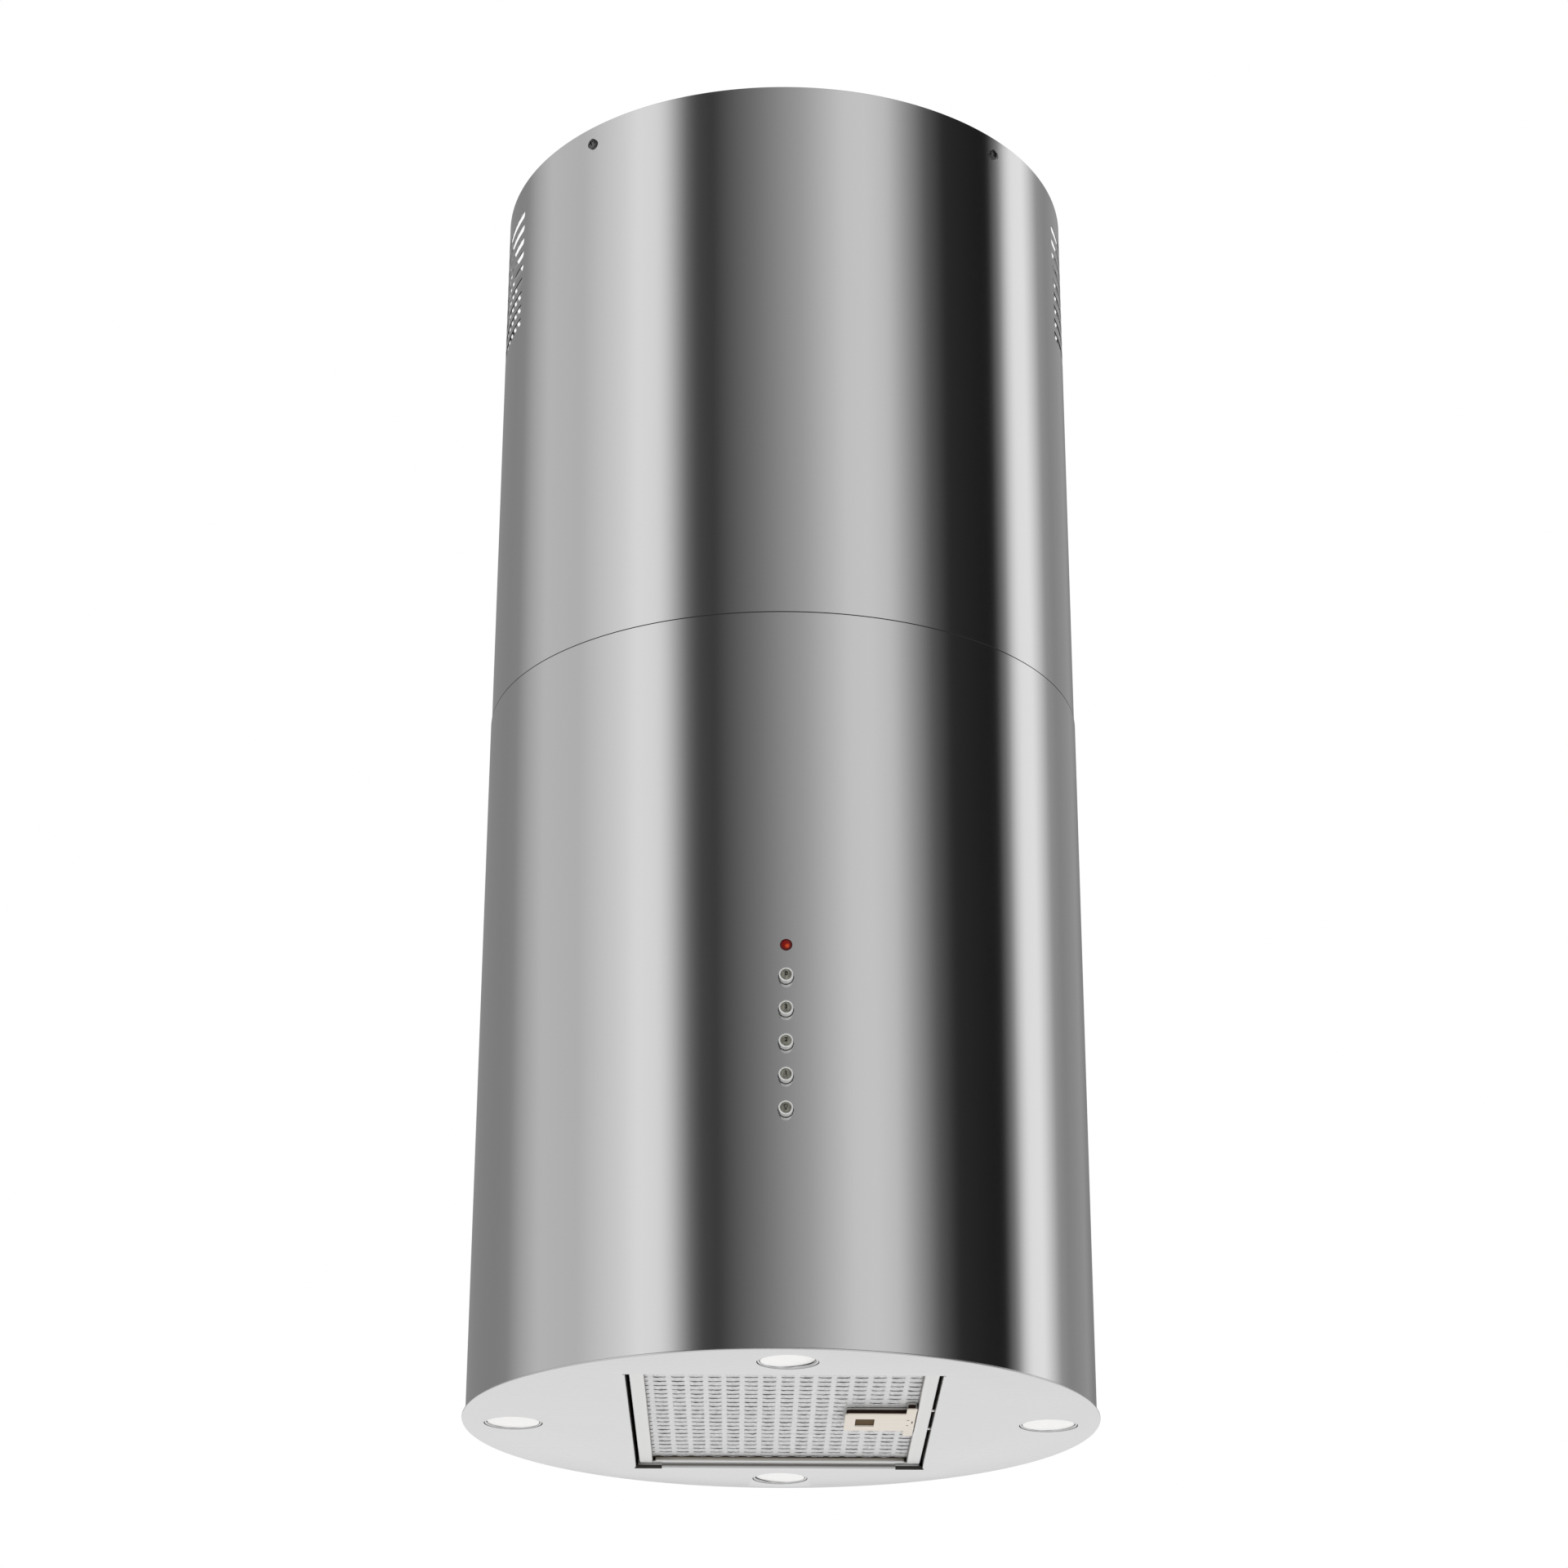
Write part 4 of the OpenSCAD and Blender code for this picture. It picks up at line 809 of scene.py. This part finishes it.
def make_lamp(name):
    """A flush ring with a dark seat, and in it the frosted glass."""
    at = Matrix.Translation((*lamp_place(name), bottom))
    outer, inner, deep = 17.4 * MM, 16.1 * MM, 4.9 * MM
    ring = bmesh.new()
    profile = [
        (inner, deep), (inner, 0.9 * MM), (inner + 0.15 * MM, 0.45 * MM), (inner + 0.45 * MM, 0.22 * MM),
        (outer - 0.45 * MM, 0.22 * MM), (outer - 0.15 * MM, 0.4 * MM), (outer, 0.8 * MM), (outer, deep),
    ]
    add_lathe(ring, profile, LAMP_SIDES, at)
    fit_piece(f"lamp_ring_{name}", smoothed(shaped(ring), 50), "hood", "bezel_chrome",
              [f"lamp_bezel_{name}"])
    seat = bmesh.new()
    step, bore, top = inner - 0.3 * MM, 13.4 * MM, 5 * MM
    steps = [(inner, 1.2 * MM), (step, 1.8 * MM), (step, 3.4 * MM), (inner - 1.2 * MM, 4.2 * MM)]
    steps += [(bore, 4.6 * MM), (bore, top), (inner, top)]
    add_lathe(seat, steps, LAMP_SIDES, at)
    fit_piece(f"lamp_seat_{name}", smoothed(shaped(seat), 30), "hood", "bezel_chrome", finish=LAMP_SEAT)
    glass = bmesh.new()
    radius, rise, thick = 15.8 * MM, 0.45 * MM, 0.8 * MM
    dome = [(0, 0)]
    for i in range(1, 11):
        share = i / 10
        dome.append((radius * share * 0.99, rise * share ** 2.2))
    dome += [(radius, rise + 0.2 * MM), (radius * 0.99, rise + thick), (0, rise + thick)]
    lean = math.radians(LEANS[name])
    lift = 0.1 * MM + radius * math.sin(abs(lean))
    leaning = at @ Matrix.Translation((0, 0, lift)) @ Matrix.Rotation(lean, 4, "Y")
    add_lathe(glass, dome, LAMP_SIDES, leaning, closed=False)
    fit_piece(f"lamp_glass_{name}", smoothed(shaped(glass), 40), "hood", "lens_frosted",
              [f"lamp_lens_{name}"])


# ---- grease filter ----

filter_low, filter_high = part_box("filter_frame")
# The rails lie a little off the middle, towards the handle.
FILTER_MIDDLE = 0.55 * MM
FILTER_X, FILTER_Y = filter_high.x + FILTER_MIDDLE, filter_high.y
FILTER_Z0, FILTER_Z1 = filter_low.z, filter_high.z
RAIL_W, RAIL_SHEET = 8.4 * MM, 0.6 * MM
sheet_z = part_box("filter_front_sheet")[0].z
handle_low, handle_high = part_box("filter_handle")
HANDLE_X0, HANDLE_X1 = handle_low.x, handle_high.x + 1.4 * MM
HANDLE_HALF, HEAD_HALF, HEAD_W = 22.5 * MM, handle_high.y, 6 * MM
COLUMNS, ROWS = 16, 22


def rail_profile(z0):
    """Section of a rail: a channel that holds the sheets and the core. Across is from its outside in."""
    soft = 0.8 * MM
    lip, web = sheet_z - 0.75 * MM, RAIL_W - RAIL_SHEET
    section = arc(soft, z0 + soft, soft, 180, 270, 4)
    section += arc(RAIL_W - soft, z0 + soft, soft, 270, 360, 4)
    section += [(RAIL_W, lip), (web, lip), (web, z0 + RAIL_SHEET)]
    section += [(RAIL_SHEET, z0 + RAIL_SHEET), (RAIL_SHEET, FILTER_Z1 - RAIL_SHEET)]
    return section + [(RAIL_W, FILTER_Z1 - RAIL_SHEET), (RAIL_W, FILTER_Z1), (0, FILTER_Z1)]


def add_rail(stock, edge, half_length, turn, z0, mitre):
    """One rail: its outside lies at this distance from the middle. Mitre cuts its inner ends back."""
    placed = Matrix.Translation((FILTER_MIDDLE, 0, 0)) @ Matrix.Rotation(turn, 4, "Z")
    ends = []
    for side in (-1, 1):
        ring = []
        for across, z in rail_profile(z0):
            along = side * (half_length - mitre * across / RAIL_W)
            ring.append(stock.verts.new(placed @ Vector((edge - across, along, z))))
        ends.append(ring)
    join_rings(stock, ends)


def make_filter_frame():
    """Two straight side rails, and two end rails that are mitred round them and lie a little higher."""
    stock = bmesh.new()
    shorter, higher, mitre = 5.5 * MM, 0.35 * MM, RAIL_W + 2.5 * MM
    for turn in (0, TURN / 2):
        add_rail(stock, FILTER_X, FILTER_Y - shorter, turn, FILTER_Z0, 0.0)
        add_rail(stock, FILTER_Y, FILTER_X, turn + TURN / 4, FILTER_Z0 + higher, mitre)
    fit_piece("filter_rails", smoothed(shaped(stock), 40), "filter", "filter_aluminium", ["filter_frame"])


def make_filter_gap_shade():
    """A near-black strip between the rails' lips and the sheet: painted shade in the gap where they meet."""
    stock = bmesh.new()
    at = Matrix.Translation((FILTER_MIDDLE, 0, 0))
    behind_lip, width = RAIL_W - 0.35 * MM, 5 * MM
    x, y = FILTER_X - behind_lip, FILTER_Y - behind_lip
    z0, z1 = sheet_z - 0.6 * MM, sheet_z + 0.02 * MM
    for side in (-1, 1):
        far_x, far_y = side * (x + width), side * (y + width)
        add_prism(stock, rectangle(*sorted((side * x, far_x)), -y, y), z0, z1, at)
        add_prism(stock, rectangle(-x - width, x + width, *sorted((side * y, far_y))), z0, z1, at)
    fit_piece("filter_gap_shade", shaped(stock), "filter", "filter_aluminium", finish=GAP_SHADE_BROWN)


def louvre_lines():
    """Grid lines of the sheet along X and Y, each with its place inside a louvre, or None."""
    half_x, half_y = FILTER_X - 1.4 * MM, FILTER_Y - 0.7 * MM
    last_y = half_y - 1 * MM
    xs = [(FILTER_MIDDLE - half_x, None)]
    for i in range(COLUMNS):
        start = PATTERN_X + PITCH_X * (i - COLUMNS / 2) - LOUVRE_L / 2
        for share in (0.0, 0.04, 0.14, 0.24, 0.34, 0.44, 0.54, 0.64, 0.74, 0.85, 0.96, 1.0):
            xs.append((start + LOUVRE_L * share, (i, share)))
    xs.append((FILTER_MIDDLE + half_x, None))
    ys = [(-half_y, None)]
    for k in range(ROWS):
        start = PATTERN_Y + PITCH_Y * (k - (ROWS - 1) / 2) - LOUVRE_MOUTH / 2
        ys.append((start, (k, -1.0)))
        for share in (0.0, 0.15, 0.4, 0.7, 1.0):
            ys.append((min(start + LOUVRE_MOUTH + LOUVRE_D * share, last_y), (k, share)))
    ys.append((half_y, None))
    return xs, ys


def louvre_drop(column, row, across, along):
    """How far a louvre is pressed down, unevenly as lanced sheet is. Along is -1 at its mouth's edge."""
    if along < 0:
        return 0.0
    arch = math.sin(math.pi * across) ** 0.16 if 0 < across < 1 else 0.0
    where = Vector((column * 3.7 + across * 2.6, row * 5.1, 0.4))
    ripple = max(-0.3, min(0.4, 0.8 * noise.noise(where)))
    wave = 0.25 * math.sin(math.pi * along) * math.sin(across * TURN * 1.5 + column * 2.1 + row)
    return LOUVRE_DROP * arch * ((1 - along) ** 1.3 * (1 + ripple) + wave)


def make_louvred_sheet():
    """The front sheet: a grid whose louvres are pressed down and open along their front edges."""
    xs, ys = louvre_lines()
    stock = bmesh.new()
    level, near_handle = sheet_z + 0.3 * MM, 1 * MM
    grid = [[stock.verts.new((x, y, level)) for x, column in xs] for y, row in ys]
    for b, (y, row) in enumerate(ys):
        for a, (x, column) in enumerate(xs):
            covered = x > HANDLE_X0 - near_handle and abs(y) < HANDLE_HALF + near_handle
            if not row or not column or covered:
                continue
            if row[1] <= 0:
                wave = noise.noise(Vector((x * 700, row[0] * 7.3, 1.1)))
                sag = 0.2 * math.sin(math.pi * column[1]) ** 0.5 if 0 < column[1] < 1 else 0.0
                grid[b][a].co.z -= (sag + 0.14 * wave) * MM
            grid[b][a].co.z -= louvre_drop(column[0], row[0], column[1], row[1])
    for b in range(len(ys) - 1):
        for a in range(len(xs) - 1):
            row, column = ys[b][1], xs[a][1]
            mouth = row and row[1] < 0 and column and column[1] < 1
            if not mouth:
                stock.faces.new((grid[b][a], grid[b + 1][a], grid[b + 1][a + 1], grid[b][a + 1]))
    sheet = put("sheet", as_mesh("sheet", stock))
    solid = sheet.modifiers.new("thickness", "SOLIDIFY")
    solid.thickness = 0.28 * MM
    solid.offset = -1
    fit_piece("louvred_sheet", smoothed(baked(sheet), 32), "filter", "filter_mesh", ["filter_front_sheet"])


WINDOW = rectangle(HANDLE_X0 + 6.4 * MM, HANDLE_X0 + 18 * MM, -10 * MM, 10 * MM, 0.4 * MM, 3)
RIVETS = (-7 * MM, 7 * MM)


def make_handle():
    """A pressed cover with a window, two rivets and a slit, on a hollow core and riser whose dark tones are
    painted shade under the cover.
    """
    top, neck, corner = handle_low.z, HANDLE_X1 - HEAD_W, 3 * MM
    head_x = neck + 1 * MM
    outline = [(HANDLE_X1, -HEAD_HALF), (HANDLE_X1, HEAD_HALF), (head_x, HEAD_HALF)]
    outline += [(neck, HEAD_HALF - 1 * MM), (neck, HANDLE_HALF)]
    for centre_y, start in ((HANDLE_HALF - corner, 90), (-HANDLE_HALF + corner, 180)):
        outline += arc(HANDLE_X0 + corner, centre_y, corner, start, start + 90, 6)
    outline += [(neck, -HANDLE_HALF), (neck, -HEAD_HALF + 1 * MM), (head_x, -HEAD_HALF)]
    cover, tool = bmesh.new(), bmesh.new()
    cover_top, core_top, below = top + 0.9 * MM, top + 3.3 * MM, top - 1 * MM
    add_prism(cover, outline, top, cover_top, bevel=0.25 * MM)
    add_prism(tool, WINDOW, below, top + 3 * MM)
    rivet_x, rivet_r, sunk = HANDLE_X1 - 4.2 * MM, 0.9 * MM, top + 0.5 * MM
    for y in RIVETS:
        add_prism(tool, round_outline(rivet_r, 20, rivet_x, y), below, sunk)
    slit = rectangle(HANDLE_X1 - 2.0 * MM, HANDLE_X1 - 1.3 * MM, -4.5 * MM, 1.5 * MM)
    add_prism(tool, slit, below, sunk)
    mesh = smoothed(cut(shaped(cover), shaped(tool)), 30)
    fit_piece("handle_cover", mesh, "filter", "handle_cream", ["filter_handle"])
    core, riser = bmesh.new(), bmesh.new()
    add_prism(core, shrunk(outline, 0.9 * MM), cover_top, core_top)
    add_prism(riser, shrunk(outline, 0.6 * MM), core_top, sheet_z - 0.1 * MM)
    core, riser = shaped(core), shaped(riser)
    open_x = HANDLE_X1 + 2 * MM
    wells = [
        (rectangle(HANDLE_X0 + 2.5 * MM, open_x, -15.4 * MM, 15.4 * MM), below),
        (rectangle(neck + 1.2 * MM, open_x, -29 * MM, 29 * MM), top + 0.8 * MM),
    ]
    for well, floor in wells:
        tool = bmesh.new()
        add_prism(tool, well, floor, sheet_z - 0.6 * MM)
        tool = shaped(tool)
        core, riser = cut(core, tool), cut(riser, tool)
    # The core's near-black is painted shade under the cover.
    fit_piece("handle_core", smoothed(core, 30), "filter", "latch_brown", finish=HANDLE_CORE_SHADE)
    # The riser's grey is painted shade between the cover and the mesh.
    fit_piece("handle_shade_riser", smoothed(riser, 30), "filter", "filter_mesh", finish=RISER_SHADE_GREY)
    # The rivets and the slit are filled with the same near-black.
    dots, dot_r, deep = bmesh.new(), 0.85 * MM, top + 0.8 * MM
    for y in RIVETS:
        add_prism(dots, round_outline(dot_r, 20, rivet_x, y), top + 0.08 * MM, deep)
    add_prism(dots, shrunk(slit, 0.03 * MM), top + 0.12 * MM, deep)
    fit_piece("handle_rivets", smoothed(shaped(dots)), "filter", "latch_brown", finish=HANDLE_CORE_SHADE)


def make_latch():
    """The slide with its thumb plate, a bar across the handle's head, and two tongues."""
    low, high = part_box("filter_latch")
    slide, tongues = bmesh.new(), bmesh.new()
    thumb_x, bar_x = HANDLE_X0 + 20 * MM, (HANDLE_X1 - 1.5 * MM, HANDLE_X1 - 0.3 * MM)
    thumb = rectangle(low.x, thumb_x, -15 * MM, 15 * MM)
    add_prism(slide, thumb, low.z, high.z - 0.1 * MM, bevel=0.2 * MM)
    fit_piece("latch_slide_plate", smoothed(shaped(slide)), "latch", "latch_brown", ["filter_latch"])
    stem = rectangle(thumb_x, bar_x[1], -5 * MM, 5 * MM)
    add_prism(tongues, stem, low.z + 0.4 * MM, high.z - 0.2 * MM)
    add_prism(tongues, rectangle(*bar_x, -27 * MM, 27 * MM), low.z, high.z)
    for side in (-1, 1):
        strip = rectangle(bar_x[0], high.x, side * 25 * MM - 2 * MM, side * 25 * MM + 2 * MM)
        add_prism(tongues, strip, low.z + 0.7 * MM, high.z, bevel=0.15 * MM)
    fit_piece("latch_tongues", smoothed(shaped(tongues)), "latch", "filter_aluminium")


# ---- controls ----

BUTTONS = [("light", "bulb"), ("1", "1"), ("2", "2"), ("3", "3"), ("0", "0")]
# Distances of the hidden backs from the tube's axis: a button's collar, and the lens.
COLLAR_FRONT, COLLAR_BACK, LENS_BACK = 0.1863, 0.185, 0.186


def digit_mesh(digit, size, depth):
    letters = bpy.data.curves.new("digit", "FONT")
    letters.body = digit
    letters.size = size
    letters.extrude = depth / 2
    letters.offset = 0.03 * size
    letters.align_x = "CENTER"
    letters.align_y = "CENTER"
    letters.resolution_u = 6
    return baked(put("digit", letters))


def bulb_mesh(size, depth):
    """A light bulb's outline: a ring that narrows to a neck, with a cap under it."""
    stock = bmesh.new()
    radius, line, neck, foot = 0.3 * size, 0.085 * size, 0.09 * size, -0.32 * size
    path = arc(0, 0.12 * size, radius, -52, 232, 24) + [(-neck, foot), (neck, foot)]
    path = [Vector(point) for point in path]
    count = len(path)
    rings = []
    for i in range(count):
        before, after = path[i - 1], path[(i + 1) % count]
        side = (after - before).normalized()
        normal = Vector((-side.y, side.x))
        ring = []
        for across, z in ((-line, 0), (line, 0), (line, depth), (-line, depth)):
            point = path[i] + normal * across / 2
            ring.append(stock.verts.new((point.x, point.y, z)))
        rings.append(ring)
    skin(stock, rings, closed=True)
    add_prism(stock, rectangle(-0.11 * size, 0.11 * size, -0.5 * size, -0.36 * size), 0, depth)
    return shaped(stock)


def make_button(name, sign, height):
    """A turned cap with a rounded rim, an inlay sunk in it, and its sign."""
    low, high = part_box(f"button_{name}")
    body, at = f"push_{name}", facing_front(z=height)
    front, back = -low.y, -high.y
    radius, collar_r, stem_r, floor = 4.2 * MM, 5.74 * MM, 2 * MM, front - 0.5 * MM
    cap, face = bmesh.new(), bmesh.new()
    profile = [(0, floor), (3.2 * MM, floor)] + arc(3.7 * MM, front - 0.53 * MM, 0.52 * MM, 180, 0, 8)
    profile += [(radius, front - 1.2 * MM), (radius, COLLAR_FRONT), (collar_r, COLLAR_FRONT)]
    profile += [(collar_r, COLLAR_BACK), (stem_r, COLLAR_BACK), (stem_r, back), (0, back)]
    add_lathe(cap, profile, 64, at, closed=False)
    fit_piece(f"button_cap_{name}", smoothed(shaped(cap), 50), body, "button_chrome", [f"button_{name}"])
    inlay_front, inlay_back = floor + 0.12 * MM, floor + 0.02 * MM
    disc = [(0, inlay_front), (3.1 * MM, inlay_front), (3.2 * MM, inlay_back), (0, inlay_back)]
    add_lathe(face, disc, 48, at, closed=False)
    fit_piece(f"button_inlay_{name}", smoothed(shaped(face)), body, "button_chrome", finish=BUTTON_FACE)
    thick = 0.1 * MM
    mark = bulb_mesh(3.6 * MM, thick) if sign == "bulb" else digit_mesh(sign, 3.5 * MM, thick)
    lift = inlay_front + (0 if sign == "bulb" else thick / 2)
    mark.transform(facing_front(y=-lift, z=height + 0.4 * MM))
    fit_piece(f"button_mark_{name}", mark, body, "button_chrome", finish=DIGIT_INK)


def make_indicator():
    front = -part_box("indicator_lens")[0].y
    radius, rise = 3.55 * MM, 1.0 * MM
    dome = [(0, front)]
    for i in range(1, 9):
        angle = math.pi / 2 * i / 8
        dome.append((radius * math.sin(angle), front - rise * (1 - math.cos(angle))))
    dome += [(radius, LENS_BACK), (0, LENS_BACK)]
    lens = bmesh.new()
    add_lathe(lens, dome, 48, facing_front(z=lens_height), closed=False)
    fit_piece("indicator_dome", smoothed(shaped(lens)), "hood", "red_lens", ["indicator_lens"])


# ---- nodes that keep their shape ----

# The filter brackets take the darkened steel: painted shade in the corner relief.
SPECIAL_FINISHES = {"filter_brackets": BRACKET_SHADE_STEEL}


def dress_nodes():
    """Gives every CAD node that stays visible the finish of its material slot."""
    for part in frame["record"]["subparts"]:
        node = frame["nodes"][part["node"]]
        finish = SPECIAL_FINISHES.get(part["node"], FINISHES[part["material_slot"]])
        node.data.materials.clear()
        node.data.materials.append(finish)


# ---- studio ----

# The camera's place in front of the tube's axis, and how many degrees it is turned round that axis.
CAMERA_AWAY, CAMERA_Z = 2.105, -1.28495
VIEW_TURN = -0.65


def camera_view():
    data = bpy.data.cameras.new("view")
    data.lens = 80.667
    data.sensor_width = 36
    data.clip_end = 60
    camera = put("view", data)
    pitch, yaw, roll = 0.39499, 0.00035, 0.00266
    forward = Vector((math.sin(yaw) * math.cos(pitch), math.cos(yaw) * math.cos(pitch), math.sin(pitch)))
    level = Vector((math.cos(yaw), -math.sin(yaw), 0))
    upright = level.cross(forward)
    right = level * math.cos(roll) + upright * math.sin(roll)
    up = upright * math.cos(roll) - level * math.sin(roll)
    turn = Matrix((right, up, -forward)).transposed().to_4x4()
    standpoint = Matrix.Translation((0, -CAMERA_AWAY, CAMERA_Z)) @ turn
    camera.matrix_world = Matrix.Rotation(math.radians(VIEW_TURN), 4, "Z") @ standpoint
    bpy.context.scene.camera = camera


# What the polished tube mirrors, as (degrees on the tube from its front, tone): cards and gaps.
CARDS = [
    (-80, 0.28), (-65, 0.285), (-60, 0.31), (-55, 0.51), (-50, 0.67), (-40, 0.63), (-30, 0.90), (-27, 1.02),
    (-23, 0.98), (-21, 0.80), (-19, 0.47), (-17, 0.18), (-15, 0.075), (-12, 0.055), (-4, 0.236), (4, 0.46),
    (12, 0.79), (16, 0.82), (20, 0.73), (24, 0.40), (28, 0.13), (32, 0.03), (43, 0.012), (46, 0.26),
    (48, 0.78), (50, 1.07), (54, 1.09), (57, 0.74), (60, 0.37), (64, 0.30), (74, 0.36), (80, 0.25),
]
# The cards spread with height about one direction on the tube; at one height they stay as listed.
SPREAD_ABOUT, SPREAD_LEVEL, SPREAD = 24, 22, 0.0045
BRIGHTEST = 1.25


def mirrored_direction(degrees):
    """Where, seen from the front, a polished tube mirrors at this angle: degrees round the studio."""
    angle = math.radians(degrees)
    aside = math.atan2(tube_r * math.sin(angle), CAMERA_AWAY - tube_r * math.cos(angle))
    return 2 * degrees + math.degrees(aside)


def card_tones(finish):
    """The cards' tones by direction: paler below, white below at the back, and dim overhead."""
    x, y, z = finish.parts(finish.add("ShaderNodeNewGeometry", output="Position"))
    azimuth = x.maths("ARCTAN2", 0 - y) * (180 / math.pi) - VIEW_TURN
    level = (x * x + y * y) ** 0.5
    elevation = (z + 0.5).maths("ARCTAN2", level) * (180 / math.pi)
    stops = [(mirrored_direction(degrees) / 360 + 0.5, tone / BRIGHTEST) for degrees, tone in CARDS]
    middle = mirrored_direction(SPREAD_ABOUT)
    card = middle + (azimuth - middle) / (1 + SPREAD * (elevation - SPREAD_LEVEL))
    tone = finish.add("ShaderNodeValToRGB", {"stops": stops}, {0: card / 360 + 0.5})
    tone = finish.add("ShaderNodeRGBToBW", inputs={0: tone}) * BRIGHTEST
    low_tone = tone + (1 - tone) * (0.5 + 0.5 * azimuth.absolute().ramp(125.0, 150.0))
    tone = tone + (low_tone - tone) * elevation.ramp(4.0, -4.0)
    tone = tone + (0.14 - tone) * elevation.ramp(44.0, 62.0)
    shader = finish.add("ShaderNodeEmission", None, {"Color": tint(1.0), "Strength": tone})
    finish.add("ShaderNodeOutputMaterial", inputs={"Surface": shader})


def pale_floor(finish):
    """Near white, with a faint glow that only the camera sees."""
    glow = 0.14 * finish.add("ShaderNodeLightPath", output="Is Camera Ray")
    finish.surface(base_color=tint(0.94), roughness=0.8, emission_color=tint(1.0), emission_strength=glow)


def stage_mesh(name, stock, finish):
    mesh = as_mesh(name, stock)
    mesh.materials.append(finish)
    return put(name, mesh)


def studio_cards():
    """A tent of grey cards that only polished metal sees."""
    stock = bmesh.new()
    bmesh.ops.create_uvsphere(stock, u_segments=48, v_segments=24, radius=14)
    tent = stage_mesh("studio_cards", stock, material("card_tones", card_tones))
    tent.visible_camera = False
    tent.visible_diffuse = False
    tent.visible_transmission = False
    tent.visible_volume_scatter = False
    tent.visible_shadow = False


def studio_floor():
    stock = bmesh.new()
    bmesh.ops.create_grid(stock, x_segments=1, y_segments=1, size=16)
    floor = stage_mesh("studio_floor", stock, material("pale_floor", pale_floor))
    floor.location.z = -3.1
    floor.visible_glossy = False


def studio_world():
    """White, and brighter for what is seen or mirrored than as light."""
    world = bpy.data.worlds.new("studio")
    world.use_nodes = True
    finish = Finish(world.node_tree)
    path = finish.add("ShaderNodeLightPath")
    rays = [Signal(finish, path.socket.node.outputs[f"Is {kind} Ray"])
            for kind in ("Camera", "Glossy", "Transmission")]
    seen = rays[0].maths("MAXIMUM", rays[1]).maths("MAXIMUM", rays[2])
    shader = finish.add("ShaderNodeBackground", None, {"Color": tint(1.0), "Strength": 0.85 + 0.15 * seen})
    finish.add("ShaderNodeOutputWorld", inputs={"Surface": shader})
    bpy.context.scene.world = world


def soft_lamp(name, place, target, size, power):
    data = bpy.data.lights.new(name, "AREA")
    data.shape = "SQUARE"
    data.size = size
    data.energy = power
    lamp = put(name, data)
    lamp.location = place
    lamp.rotation_euler = (Vector(target) - Vector(place)).to_track_quat("-Z", "Y").to_euler()
    lamp.visible_glossy = False


dress_nodes()
make_lower_tube()
make_seam_shade_ring()
make_upper_tube()
make_tube_screws()
make_base_plate()
make_opening_shade_strips()
for lamp_name in lamp_names:
    make_lamp(lamp_name)
make_filter_frame()
make_filter_gap_shade()
make_louvred_sheet()
make_handle()
make_latch()
for (button_name, button_sign), button_height in zip(BUTTONS, button_heights):
    make_button(button_name, button_sign, button_height)
make_indicator()

camera_view()
studio_world()
studio_cards()
studio_floor()
soft_lamp("key", (-1.8, -2.2, 0.6), (0, 0, -0.4), 1.6, 18)
soft_lamp("fill", (2.0, 1.5, -0.9), (0, 0, -0.5), 1.6, 8)

scene = bpy.context.scene
scene.view_settings.view_transform = "Standard"
